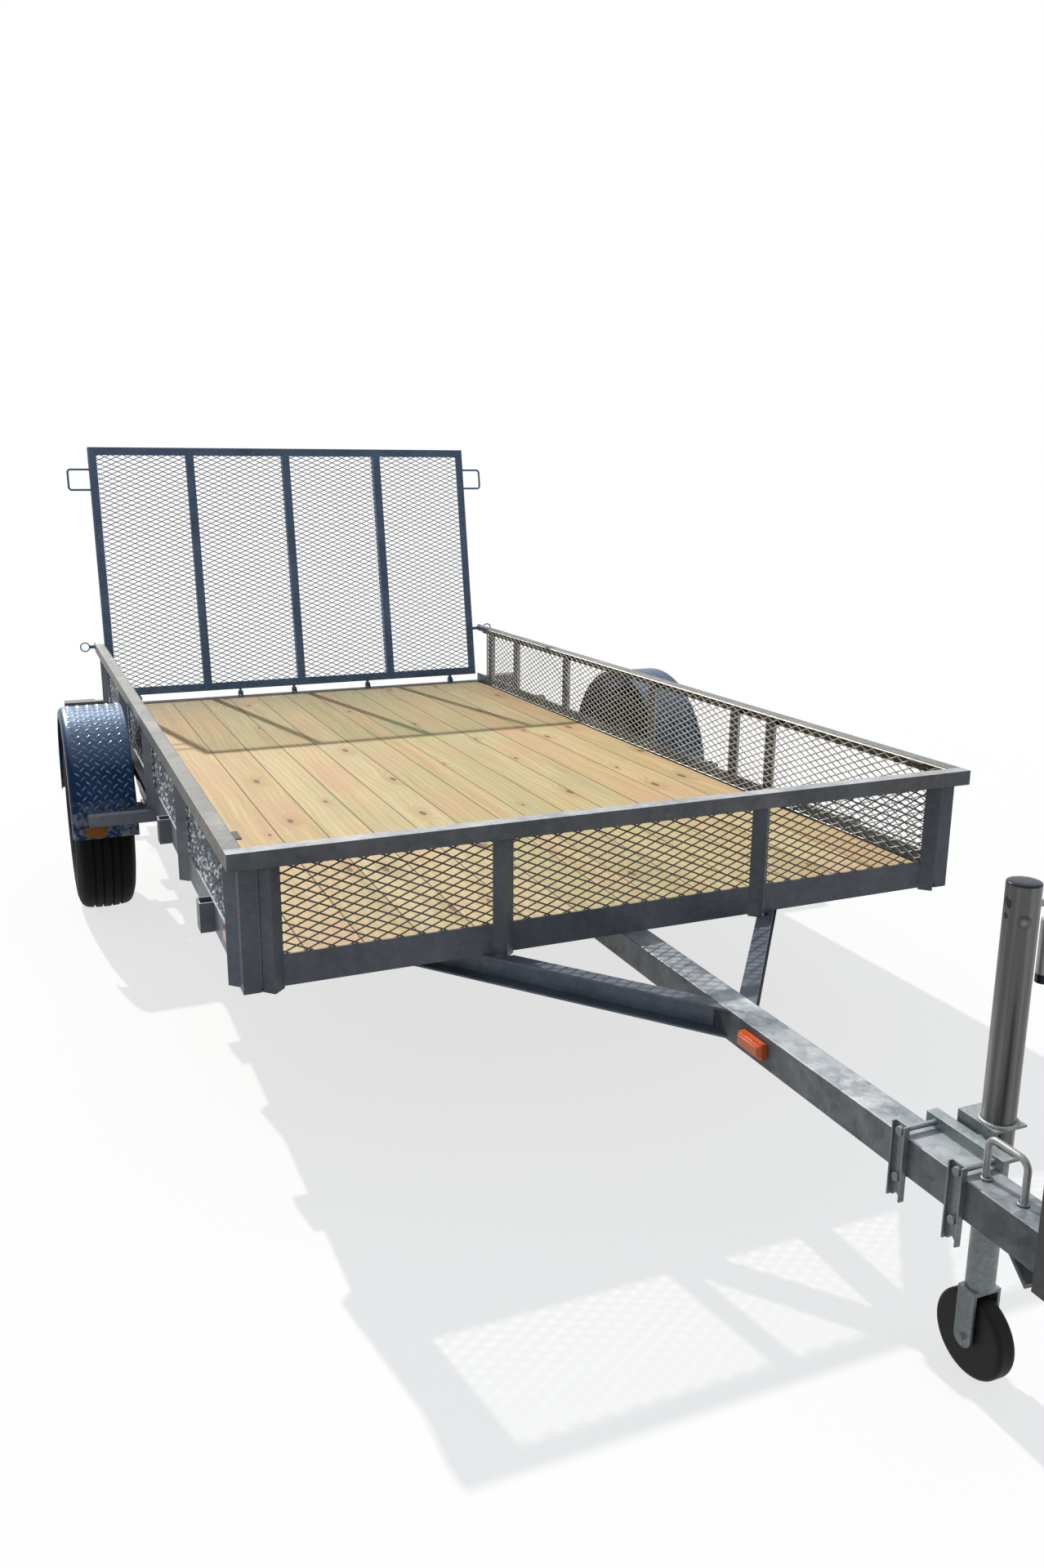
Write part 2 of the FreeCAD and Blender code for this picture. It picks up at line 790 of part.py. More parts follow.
coupler_foot = "coupler_line - coupler_height / 2"
coupler_top = "coupler_line + coupler_height / 2"
coupler_rear = f"{TONGUE_FRONT} - channel_wall - fit_gap"
housing = fuse(
    block((f"-{COUPLER_SIDE}", COUPLER_SIDE), (BALL_LINE, coupler_rear), (coupler_foot, coupler_top)),
    rod("+z", ("0", BALL_LINE, coupler_foot), "coupler_nose", "coupler_height / 2"),
    ball(("0", BALL_LINE, "coupler_line"), "coupler_nose"),
)
hollow = block(
    (f"-({COUPLER_SIDE} - coupler_wall)", f"{COUPLER_SIDE} - coupler_wall"),
    (f"{BALL_LINE} + coupler_nose", f"{coupler_rear} - coupler_wall"),
    (coupler_foot, f"{coupler_top} - coupler_wall"),
)
socket_radius = "ball_radius + ball_play"
socket = rod("+z", ("0", BALL_LINE, coupler_foot), socket_radius, "coupler_height / 2")
socket_top = ball(("0", BALL_LINE, "coupler_line"), socket_radius)
bolts = [
    rod(
        "+x",
        (f"-({CHANNEL_SIDE} + nut_thick)", bolt_line, height),
        "bolt_size / 2",
        f"2 * ({CHANNEL_SIDE} + nut_thick)",
    )
    for height in bolt_heights
]
heads = []
for height in bolt_heights:
    heads.append(rod("+x", (CHANNEL_SIDE, bolt_line, height), "nut_size / 2", "nut_thick"))
    heads.append(rod("-x", (f"-{CHANNEL_SIDE}", bolt_line, height), "nut_size / 2", "nut_thick"))
node("coupler", cut(housing, hollow, socket, socket_top), *bolts, *heads)

latch_side = "latch_width / 2"
latch_front = f"{BALL_LINE} + latch_thick"
node(
    "coupler_latch",
    block(
        (f"-{latch_side}", latch_side),
        (latch_front, f"{latch_front} + latch_post"),
        (coupler_top, f"{coupler_top} + latch_post"),
    ),
    block(
        (f"-{latch_side}", latch_side),
        (latch_front, f"{latch_front} + latch_length"),
        (f"{coupler_top} + latch_post", f"{coupler_top} + latch_post + latch_thick"),
    ),
)


# ---------------------------------------------------------------- jack
JACK_Y = "(frame_front - jack_setback)"
MOUNT_Y = "(frame_front - mount_setback)"
MOUNT_FACE = "(tongue_size / 2)"
TUBE_RADIUS = "(jack_tube_size / 2)"
LEG_RADIUS = f"({TUBE_RADIUS} - jack_tube_wall - jack_leg_play)"
strap_lines = [f"({MOUNT_Y} - strap_pitch / 2)", f"({MOUNT_Y} + strap_pitch / 2)"]
rod_heights = [
    f"({RAIL_FOOT} + bolt_clear + bolt_size / 2)",
    f"({TONGUE_FOOT} - bolt_clear - bolt_size / 2)",
]

mount_run = (f"{MOUNT_Y} - mount_length / 2", f"{MOUNT_Y} + mount_length / 2")
strap_face = f"({MOUNT_FACE} + strap_wall)"
stub_end = f"(jack_offset - {TUBE_RADIUS} - swivel_end_gap)"
mount_depth = (MOUNT_FACE, f"{MOUNT_FACE} + mount_depth")
mount_parts = [
    block((MOUNT_FACE, f"{MOUNT_FACE} + mount_wall"), mount_run, ("mount_foot", "mount_top")),
    block(mount_depth, mount_run, ("mount_top - mount_wall", "mount_top")),
    block(mount_depth, mount_run, ("mount_foot", "mount_foot + mount_wall")),
    rod("+x", (MOUNT_FACE, JACK_Y, "swivel_height"), "swivel_size / 2", f"{stub_end} - {MOUNT_FACE}"),
]
for line in strap_lines:
    for height in rod_heights:
        start = f"-({strap_face} + nut_thick)"
        length = f"{strap_face} + {MOUNT_FACE} + mount_wall + 2 * nut_thick"
        mount_parts.append(rod("+x", (start, line, height), "bolt_size / 2", length))
        mount_parts.append(rod("+x", (start, line, height), "nut_size / 2", "nut_thick"))
        mount_parts.append(
            rod("+x", (f"{MOUNT_FACE} + mount_wall", line, height), "nut_size / 2", "nut_thick"),
        )
node("jack_mount", *mount_parts)

straps = []
for line in strap_lines:
    front = f"{line} - strap_width / 2"
    rear = f"{line} + strap_width / 2"
    web = (f"-{strap_face}", f"-{MOUNT_FACE}")
    depth = (f"-({MOUNT_FACE} + strap_depth)", f"-{MOUNT_FACE}")
    upright = ("strap_foot", "strap_top")
    strap = fuse(
        block(web, (front, rear), upright),
        block(depth, (front, f"{front} + strap_wall"), upright),
        block(depth, (f"{rear} - strap_wall", rear), upright),
    )
    notch = seat(
        block(("0", "strap_depth + strap_wall"), ("0", "strap_notch"), ("0", "strap_notch")),
        (f"-({MOUNT_FACE} + strap_depth + strap_wall / 2)", line, "strap_foot - strap_notch * sqrt(0.5)"),
        (1, 0, 0),
        "45",
    )
    holes = [
        rod("+x", (f"-2 * {MOUNT_FACE}", line, height), "bolt_size / 2 + bolt_play", f"2 * {MOUNT_FACE}")
        for height in rod_heights
    ]
    straps.append(cut(strap, notch, *holes))
node("jack_straps", *straps)

collar_out = ("jack_offset - collar_side", "jack_offset + collar_side")
collar_run = (f"{JACK_Y} - collar_ahead", f"{JACK_Y} + collar_behind")
collar = block(collar_out, collar_run, ("jack_tube_foot", "collar_top"))
collar_room = block(
    (f"{collar_out[0]} + collar_wall", collar_out[1]),
    collar_run,
    ("jack_tube_foot + collar_wall", "collar_top - collar_wall"),
)
collar_bore = rod(
    "+z",
    ("jack_offset", JACK_Y, "jack_tube_foot"),
    f"{TUBE_RADIUS} + jack_leg_play",
    "collar_top - jack_tube_foot",
)
collar_socket = rod(
    "+x",
    (MOUNT_FACE, JACK_Y, "swivel_height"),
    "swivel_size / 2 + swivel_play",
    f"{stub_end} - {MOUNT_FACE}",
)
node("jack_collar", cut(collar, collar_room, collar_bore, collar_socket))

jack_foot = ("jack_offset", JACK_Y, "jack_tube_foot")
node(
    "jack_tube",
    cut(
        rod("+z", jack_foot, TUBE_RADIUS, "jack_tube_top - jack_tube_foot"),
        rod("+z", jack_foot, f"{TUBE_RADIUS} - jack_tube_wall", "jack_tube_top - jack_tube_foot"),
    ),
)
node("jack_cap", rod("+z", ("jack_offset", JACK_Y, "jack_tube_top"), TUBE_RADIUS, "jack_cap_height"))

FORK_FOOT = "(jack_wheel_radius + fork_rise)"
LEG_FOOT = f"({FORK_FOOT} + fork_wall)"
leg_place = ("jack_offset", JACK_Y, LEG_FOOT)
node(
    "jack_leg",
    cut(
        rod("+z", leg_place, LEG_RADIUS, "jack_travel + jack_leg_engage"),
        rod("+z", leg_place, f"{LEG_RADIUS} - jack_leg_wall", "jack_travel + jack_leg_engage"),
    ),
)

ear_inner = "(jack_wheel_width / 2 + fork_gap)"
ear_outer = f"({ear_inner} + fork_wall)"
fork_run = (f"{JACK_Y} - fork_width / 2", f"{JACK_Y} + fork_width / 2")
fork_parts = [
    block((f"jack_offset - {ear_outer}", f"jack_offset + {ear_outer}"), fork_run, (FORK_FOOT, LEG_FOOT)),
    rod(
        "+x",
        (f"jack_offset - {ear_outer} - fork_wall", JACK_Y, "jack_wheel_radius"),
        "jack_axle_size / 2",
        f"2 * {ear_outer} + 2 * fork_wall",
    ),
]
for low, high in ((f"-{ear_outer}", f"-{ear_inner}"), (ear_inner, ear_outer)):
    fork_parts.append(
        block(
            (f"jack_offset + {low}", f"jack_offset + {high}"),
            fork_run,
            ("jack_wheel_radius", FORK_FOOT),
        ),
    )
    fork_parts.append(
        rod("+x", (f"jack_offset + {low}", JACK_Y, "jack_wheel_radius"), "fork_width / 2", "fork_wall"),
    )
node("jack_fork", *fork_parts)


def wheel_ring(profile, centre, sweep=360):
    """A ring whose section is drawn as distance along the axle and radius from it."""
    face = Part.Face(Part.Wire(profile))
    face.rotate(centre, Vector(1, 0, 0), -sweep / 2)
    return face.revolve(centre, Vector(1, 0, 0), sweep)


def section(centre):
    """Points of a section: distance along X, then radius, which stands on +Z above the centre."""
    return lambda x, radius: Vector(x, centre.y, centre.z + radius)


jack_centre = Vector(val("jack_offset"), val("frame_front") - val("jack_setback"), val("jack_wheel_radius"))
at = section(jack_centre)
rim = val("jack_wheel_radius")
soft = val("jack_wheel_round")
bore = val("jack_axle_size") / 2 + val("jack_axle_play")
left = val("jack_offset") - val("jack_wheel_width") / 2
right = val("jack_offset") + val("jack_wheel_width") / 2
slant = soft * (1 - cos(radians(45)))
wheel_profile = [
    Part.LineSegment(at(left, bore), at(left, rim - soft)).toShape(),
    Part.Arc(at(left, rim - soft), at(left + slant, rim - slant), at(left + soft, rim)).toShape(),
    Part.LineSegment(at(left + soft, rim), at(right - soft, rim)).toShape(),
    Part.Arc(at(right - soft, rim), at(right - slant, rim - slant), at(right, rim - soft)).toShape(),
    Part.LineSegment(at(right, rim - soft), at(right, bore)).toShape(),
    Part.LineSegment(at(right, bore), at(left, bore)).toShape(),
]
node("jack_wheel", drawn(wheel_ring(wheel_profile, jack_centre)))

crank_root = val("jack_offset") + val("jack_tube_size") / 2
crank_line = crank_root + val("crank_stand")
crank_y = jack_centre.y
crank_top = val("crank_height")
crank_foot = crank_top - val("crank_arm")
crank_points = [
    Vector(crank_root, crank_y, crank_top),
    Vector(crank_line, crank_y, crank_top),
    Vector(crank_line, crank_y, crank_foot),
]
grip_place = (f"jack_offset + {TUBE_RADIUS} + crank_stand", JACK_Y, "crank_height - crank_arm")
node(
    "jack_crank",
    drawn(bent_rod(crank_points, val("crank_bend"), val("crank_rod") / 2)),
    rod("+z", grip_place, "grip_size / 2", "grip_length"),
)
node("jack_grip_end", rod("-z", grip_place, "grip_size / 2", "grip_end"))


# ---------------------------------------------------------------- running gear
AXLE_Y = "(frame_front + axle_setback)"
AXLE_FACE = "(axle_size / 2)"
hub_inner = "(track_half - hub_flange - hub_length + hub_cap_length)"
spindle_end = "(track_half + hub_cap_length - hub_wall - fit_gap)"
axle_parts = [
    block(
        ("-axle_half", "axle_half"),
        (f"{AXLE_Y} - {AXLE_FACE}", f"{AXLE_Y} + {AXLE_FACE}"),
        (f"axle_height - {AXLE_FACE}", f"axle_height + {AXLE_FACE}"),
    ),
    rod("+x", (f"-{spindle_end}", AXLE_Y, "axle_height"), "spindle_size / 2", f"2 * {spindle_end}"),
]
for side in (1, -1):
    axle_parts.append(
        block(
            outward(
                side,
                "spring_line - spring_width / 2 - spring_seat",
                "spring_line + spring_width / 2 + spring_seat",
            ),
            (f"{AXLE_Y} - {AXLE_FACE} - spring_seat", f"{AXLE_Y} + {AXLE_FACE} + spring_seat"),
            (f"axle_height + {AXLE_FACE}", f"axle_height + {AXLE_FACE} + spring_seat"),
        )
    )
node("axle", *axle_parts)

# leaf springs: columns are each leaf's share of the half length, from the top one down
LEAVES = [1.0, 0.72, 0.44]
axle_y = val("frame_front") + val("axle_setback")
half_span = val("spring_half")
arch = val("spring_arch")
leaf = val("spring_leaf")
sweep_radius = (half_span ** 2 + arch ** 2) / (2 * arch)
stack_foot = val("axle_height") + val("axle_size") / 2 + val("spring_seat")
arc_centre = stack_foot + len(LEAVES) * leaf + sweep_radius
eye_height = arc_centre - (sweep_radius + leaf / 2) * cos(half_span / sweep_radius)


def leaf_outline(inner, reach):
    """One leaf between two arcs about the spring's centre of curvature."""
    outer = inner + leaf
    turn = reach / sweep_radius
    low = [(axle_y + inner * sin(a), arc_centre - inner * cos(a)) for a in (-turn, 0, turn)]
    high = [(axle_y + outer * sin(a), arc_centre - outer * cos(a)) for a in (-turn, 0, turn)]
    low = [Vector(0, y, z) for y, z in low]
    high = [Vector(0, y, z) for y, z in high]
    edges = [
        Part.Arc(*low).toShape(),
        Part.LineSegment(low[2], high[2]).toShape(),
        Part.Arc(*high).toShape(),
        Part.LineSegment(high[0], low[0]).toShape(),
    ]
    return Part.Face(Part.Wire(Part.sortEdges(edges)[0]))


spring = None
for place, share in enumerate(LEAVES):
    layer = leaf_outline(sweep_radius + place * leaf, share * half_span).extrude(
        Vector(val("spring_width"), 0, 0),
    )
    spring = layer if spring is None else spring.fuse(layer)
for sign in (-1, 1):
    eye = Vector(0, axle_y + sign * half_span, eye_height)
    spring = spring.fuse(Part.makeCylinder(val("spring_eye"), val("spring_width"), eye, Vector(1, 0, 0)))
for sign in (-1, 1):
    eye = Vector(0, axle_y + sign * half_span, eye_height)
    hole = val("eye_pin") / 2 + val("spindle_play")
    spring = spring.cut(Part.makeCylinder(hole, val("spring_width"), eye, Vector(1, 0, 0)))
spring.translate(Vector(val("spring_line") - val("spring_width") / 2, 0, 0))
spring_right = drawn(spring.removeSplitter())
node("leaf_springs", spring_right, mirror(spring_right))

hangers = []
wall_inner = val("spring_width") / 2 + val("fit_gap")
wall_outer = wall_inner + val("hanger_wall")
for side in (1, -1):
    for sign in (-1, 1):
        middle = Vector(side * val("spring_line"), axle_y + sign * half_span, eye_height)
        length = val("hanger_length")
        foot = eye_height - val("hanger_drop")
        hanger = Part.makeCylinder(
            val("eye_pin") / 2,
            2 * (wall_outer + val("pin_head")),
            middle - Vector(wall_outer + val("pin_head"), 0, 0),
            Vector(1, 0, 0),
        )
        roof = Part.makeBox(
            2 * wall_outer,
            length,
            val("hanger_wall"),
            Vector(middle.x - wall_outer, middle.y - length / 2, rail_foot - val("hanger_wall")),
        )
        hanger = hanger.fuse(roof)
        for start in (-wall_outer, wall_inner):
            corner = Vector(middle.x + start, middle.y - length / 2, foot)
            hanger = hanger.fuse(Part.makeBox(val("hanger_wall"), length, rail_foot - foot, corner))
        hangers.append(drawn(hanger.removeSplitter()))
node("spring_hangers", *hangers)


def round_about(radius, count, place):
    """Y and Z of one of several things spaced evenly about the axle."""
    angle = f"{place} * 360 / {count}"
    return f"{AXLE_Y} + {radius} * cos({angle})", f"axle_height + {radius} * sin({angle})"


hub_solids = [
    rod(
        "+x",
        (hub_inner, AXLE_Y, "axle_height"),
        "hub_barrel",
        f"track_half + hub_cap_length - {hub_inner}",
    ),
    rod("+x", ("track_half - hub_flange", AXLE_Y, "axle_height"), "hub_radius", "hub_flange"),
]
stud_holes = []
for place in range(STUD_COUNT):
    y, z = round_about("stud_circle", STUD_COUNT, place)
    hub_solids.append(rod("+x", ("track_half", y, z), "stud_size / 2", "stud_length"))
    hub_solids.append(rod("+x", ("track_half + disc_wall", y, z), "lug_size / 2", "lug_length"))
    stud_holes.append(rod("+x", ("track_half", y, z), "stud_size / 2 + fit_gap", "disc_wall"))
hub_bore = rod(
    "+x",
    (hub_inner, AXLE_Y, "axle_height"),
    "spindle_size / 2 + spindle_play",
    f"{spindle_end} + fit_gap - {hub_inner}",
)
hub_right = node("hub_right", cut(fuse(*hub_solids), hub_bore))
node("hub_left", mirror(hub_right))

wheel_centre = Vector(val("track_half"), axle_y, val("axle_height"))
at = section(wheel_centre)
mid = val("track_half")
bead = val("bead_radius")
lip = bead + val("rim_lip")
wall = val("rim_wall")
half_bead = val("bead_width") / 2
half_well = val("rim_well_width") / 2
well = bead - val("rim_well")
slope = val("rim_well") / 4
rim_points = [
    at(mid - half_bead - wall, lip),
    at(mid - half_bead, lip),
    at(mid - half_bead, bead),
    at(mid - half_well - slope, bead),
    at(mid - half_well, well),
    at(mid + half_well, well),
    at(mid + half_well + slope, bead),
    at(mid + half_bead, bead),
    at(mid + half_bead, lip),
    at(mid + half_bead + wall, lip),
    at(mid + half_bead + wall, bead - wall),
    at(mid + half_well + slope + wall, bead - wall),
    at(mid + half_well + wall, well - wall),
    at(mid - half_well - wall, well - wall),
    at(mid - half_well - slope - wall, bead - wall),
    at(mid - half_bead - wall, bead - wall),
]
rim_edges = [
    Part.LineSegment(a, b).toShape() for a, b in zip(rim_points, rim_points[1:] + rim_points[:1])
]
disc_radius = "bead_radius - rim_well - rim_wall / 2"
vents = []
for place in range(VENT_COUNT):
    y, z = round_about("vent_circle", VENT_COUNT, place + 0.5)
    vents.append(rod("+x", ("track_half", y, z), "vent_radius", "disc_wall"))
centre_bore = rod("+x", ("track_half", AXLE_Y, "axle_height"), "disc_bore", "disc_wall")
disc = cut(
    rod("+x", ("track_half", AXLE_Y, "axle_height"), disc_radius, "disc_wall"),
    centre_bore,
    *vents,
    *stud_holes,
)
rim_right = node("rim_right", drawn(wheel_ring(rim_edges, wheel_centre)), disc)
node("rim_left", mirror(rim_right))

crown = val("tyre_radius")
half_tyre = val("tyre_width") / 2
ply = val("tyre_wall")
shoulder = val("tyre_shoulder")
shoulder_radius = crown - val("tread_crown")


def tyre_side(inset):
    """Section of the tyre's skin from the left bead over the tread to the right bead."""
    flank = (bead + crown) / 2
    edge_x = half_tyre - shoulder / 2 - inset
    edge_r = crown - shoulder - inset / 2
    tread_x = half_tyre - shoulder - inset / 2
    tread_r = shoulder_radius - inset
    foot_x = half_bead - inset
    points = [
        (-foot_x, bead),
        (-foot_x, lip),
        (-half_tyre + inset, flank),
        (-edge_x, edge_r),
        (-tread_x, tread_r),
        (0, crown - inset),
    ]
    points += [(-x, r) for x, r in points[-2::-1]]
    spots = [at(mid + x, r) for x, r in points]
    return [
        Part.LineSegment(spots[0], spots[1]).toShape(),
        Part.Arc(spots[1], spots[2], spots[3]).toShape(),
        Part.LineSegment(spots[3], spots[4]).toShape(),
        Part.Arc(spots[4], spots[5], spots[6]).toShape(),
        Part.LineSegment(spots[6], spots[7]).toShape(),
        Part.Arc(spots[7], spots[8], spots[9]).toShape(),
        Part.LineSegment(spots[9], spots[10]).toShape(),
    ]


beads = []
for sign in (-1, 1):
    outer_foot = at(mid + sign * half_bead, bead)
    inner_foot = at(mid + sign * (half_bead - ply), bead)
    beads.append(Part.LineSegment(outer_foot, inner_foot).toShape())
tyre_edges = Part.sortEdges(tyre_side(0) + tyre_side(ply) + beads)[0]
tyre_right = node("tyre_right", drawn(wheel_ring(tyre_edges, wheel_centre)))
node("tyre_left", mirror(tyre_right))


# ---------------------------------------------------------------- fenders and lamps
fender_centre = Vector(0, axle_y, val("axle_height") + val("fender_rise"))
at = section(fender_centre)
arch_radius = val("fender_radius")
inner_edge = val("fender_inner")
outer_edge = val("fender_outer")
sheet_wall = val("fender_wall")
roll = val("fender_round")
roll_in = roll - sheet_wall
lip_foot = arch_radius - roll - val("fender_lip")
curl = roll * (1 - cos(radians(45)))
curl_in = roll_in * (1 - cos(radians(45)))
under_arch = arch_radius - sheet_wall
roll_foot = arch_radius - roll
inner_wall = inner_edge + sheet_wall
outer_wall = outer_edge - sheet_wall
lip_corners = [
    (outer_edge, roll_foot),
    (outer_edge, lip_foot),
    (outer_wall, lip_foot),
    (outer_wall, roll_foot),
]
arch_corners = [
    (outer_edge - roll, under_arch),
    (inner_wall, under_arch),
    (inner_wall, roll_foot),
    (inner_edge, roll_foot),
    (inner_edge, arch_radius),
    (outer_edge - roll, arch_radius),
]
inner_roll = Part.Arc(
    at(outer_wall, roll_foot),
    at(outer_wall - curl_in, under_arch - curl_in),
    at(outer_edge - roll, under_arch),
)
outer_roll = Part.Arc(
    at(outer_edge - roll, arch_radius),
    at(outer_edge - curl, arch_radius - curl),
    at(outer_edge, roll_foot),
)


def straights(corners):
    """The straight edges of a section from corner to corner."""
    return [Part.LineSegment(at(*start), at(*end)).toShape() for start, end in zip(corners, corners[1:])]


fender_profile = straights(lip_corners) + [inner_roll.toShape()]
fender_profile += straights(arch_corners) + [outer_roll.toShape()]
fender_right = node(
    "fender_right",
    drawn(wheel_ring(fender_profile, fender_centre, 2 * val("fender_angle"))),
)
node("fender_left", mirror(fender_right))

BRACKET_FOOT = f"({POST_FOOT} - bracket_size)"
bracket_drop = f"({BRACKET_FOOT} - axle_height - fender_rise)"
bracket_face = f"(sqrt(fender_radius * fender_radius - {bracket_drop} * {bracket_drop}) + fit_gap)"
brackets = []
for side in (1, -1):
    for way in (-1, 1):
        near = f"{AXLE_Y} + {way} * {bracket_face}"
        far = f"{near} + {way} * bracket_size"
        run = (far, near) if way < 0 else (near, far)
        bar = outward(side, f"{HALF} - rail_flange", "bracket_reach")
        brackets.append(block(bar, run, (BRACKET_FOOT, POST_FOOT)))
        brackets.append(block(outward(side, f"{HALF} - rail_flange", HALF), run, (POST_FOOT, RAIL_FOOT)))
node("fender_brackets", *brackets)

lamp_middle = "(deck_top - flat_lamp_drop)"
lamp_low = f"({lamp_middle} - flat_lamp_height / 2 - axle_height - fender_rise)"
lamp_face = f"(sqrt(fender_radius * fender_radius - {lamp_low} * {lamp_low}) + fit_gap)"
fender_lamps = []
for side in (1, -1):
    across = outward(side, "flat_lamp_line - flat_lamp_width / 2", "flat_lamp_line + flat_lamp_width / 2")
    depth = (f"{AXLE_Y} - {lamp_face} - flat_lamp_thick", f"{AXLE_Y} - {lamp_face}")
    height = (f"{lamp_middle} - flat_lamp_height / 2", f"{lamp_middle} + flat_lamp_height / 2")
    fender_lamps.append(block(across, depth, height))
node("fender_lamps", *fender_lamps)

reflectors = []
for side in (1, -1):
    run = ("frame_front + reflector_setback", "frame_front + reflector_setback + reflector_length")
    reflectors.append(
        block(
            outward(side, HALF, f"{HALF} + reflector_thick"),
            run,
            ("deck_top", "deck_top + reflector_height"),
        ),
    )
node("side_reflectors", *reflectors)

ARM_RUN = (f"{REAR} - arm_setback", f"{REAR} - arm_setback + arm_width")
ARM_FOOT = "(deck_top + arm_rise)"
arms = []
tail_lamps = []
for side in (1, -1):
    reach = outward(side, HALF, "arm_reach")
    bore_run = (f"{ARM_RUN[0]} + arm_wall", f"{ARM_RUN[1]} - arm_wall")
    arm = block(reach, ARM_RUN, (ARM_FOOT, f"{ARM_FOOT} + arm_height"))
    arm_bore = block(reach, bore_run, (f"{ARM_FOOT} + arm_wall", f"{ARM_FOOT} + arm_height - arm_wall"))
    arms.append(cut(arm, arm_bore))
    lamp_top = f"({ARM_FOOT} + arm_height)"
    tail_lamps.append(
        block(
            outward(side, "arm_reach - tail_lamp_width", "arm_reach"),
            (ARM_RUN[1], f"{ARM_RUN[1]} + tail_lamp_thick"),
            (f"{lamp_top} - tail_lamp_height", lamp_top),
        )
    )
node("tail_lamp_arms", *arms)
node("tail_lamps", *tail_lamps)


# ---------------------------------------------------------------- gate
# drawn upright about its hinge line, then leaned back
HINGE_Y = f"({REAR} + hinge_setback)"
HINGE_Z = "(deck_top + hinge_rise)"
GATE_SIDE = "(gate_width / 2)"
GATE_FOOT = "gate_clear"
GATE_TOP = "(gate_clear + gate_height)"
FACE = ("-gate_face", "gate_wall - gate_face")
LEG = ("gate_wall - gate_face", "gate_leg - gate_face")


def gate_node(label, *solids):
    return seat(node(label, *solids), ("0", HINGE_Y, HINGE_Z), (-1, 0, 0), "gate_lean_angle")


full_width = (f"-{GATE_SIDE}", GATE_SIDE)
gate_node(
    "gate_rails",
    block(full_width, FACE, (GATE_FOOT, f"{GATE_FOOT} + gate_leg")),
    block(full_width, LEG, (GATE_FOOT, f"{GATE_FOOT} + gate_wall")),
    block(full_width, FACE, (f"{GATE_TOP} - gate_leg", GATE_TOP)),
    block(full_width, LEG, (f"{GATE_TOP} - gate_wall", GATE_TOP)),
)

between_faces = (f"{GATE_FOOT} + gate_leg", f"{GATE_TOP} - gate_leg")
between_legs = (f"{GATE_FOOT} + gate_wall", f"{GATE_TOP} - gate_wall")
stiles = []
for side in (1, -1):
    stiles.append(block(outward(side, f"{GATE_SIDE} - gate_leg", GATE_SIDE), FACE, between_faces))
    stiles.append(block(outward(side, f"{GATE_SIDE} - gate_wall", GATE_SIDE), LEG, between_legs))
gate_node("gate_stiles", *stiles)

bars = []
for place in range(1, GATE_BAYS):
    left = f"gate_width * {place} / {GATE_BAYS} - {GATE_SIDE} - gate_leg / 2"
    bars.append(block((left, f"{left} + gate_leg"), FACE, between_faces))
    bars.append(block((left, f"{left} + gate_wall"), LEG, between_legs))
gate_node("gate_bars", *bars)

gate_sheet = expanded(
    (f"-({GATE_SIDE} - gate_wall)", f"{GATE_SIDE} - gate_wall"),
    ("-gate_face - mesh_thick", "-gate_face"),
    (f"{GATE_FOOT} + gate_wall", f"{GATE_TOP} - gate_wall"),
    GATE_MESH_COUNT,
)
gate_node("gate_mesh", loose(gate_sheet))

tabs = []
for x in HINGES:
    start = f"{x} - tab_width / 2"
    barrel = rod("+x", (start, "0", "0"), "tab_radius", "tab_width")
    strap = block((start, f"{start} + tab_width"), ("-tab_radius", "tab_radius"), ("0", GATE_FOOT))
    tabs.append(
        cut(fuse(barrel, strap), rod("+x", (start, "0", "0"), "hinge_pin / 2 + hinge_play", "tab_width")),
    )
gate_node("gate_tabs", *tabs)

ears = []
for x in HINGES:
    reach = "(tab_width / 2 + ear_gap + ear_width)"
    ears.append(rod("+x", (f"{x} - {reach}", HINGE_Y, HINGE_Z), "hinge_pin / 2", f"2 * {reach}"))
    for start in (f"{x} - {reach}", f"{x} + {reach} - ear_width"):
        ears.append(rod("+x", (start, HINGE_Y, HINGE_Z), "tab_radius", "ear_width"))
        ears.append(
            block((start, f"{start} + ear_width"), (REAR, HINGE_Y), (f"{HINGE_Z} - ear_foot", HINGE_Z)),
        )
        ears.append(
            block(
                (start, f"{start} + ear_width"),
                (REAR, f"{HINGE_Y} + tab_radius"),
                (f"{HINGE_Z} - ear_foot", f"{HINGE_Z} - tab_radius"),
            ),
        )
node("hinge_ears", *ears)

loop_top = val("gate_clear") + val("gate_height") - val("loop_drop")
loop_foot = loop_top - val("loop_height")
loop_in = val("gate_width") / 2
loop_out = loop_in + val("loop_reach")
loop_y = val("gate_leg") / 2 - val("gate_face")
loop_points = [
    Vector(loop_in, loop_y, loop_top),
    Vector(loop_out, loop_y, loop_top),
    Vector(loop_out, loop_y, loop_foot),
    Vector(loop_in, loop_y, loop_foot),
]
loop_right = drawn(bent_rod(loop_points, val("loop_bend"), val("loop_rod") / 2))
gate_node("gate_loops", loop_right, mirror(loop_right))

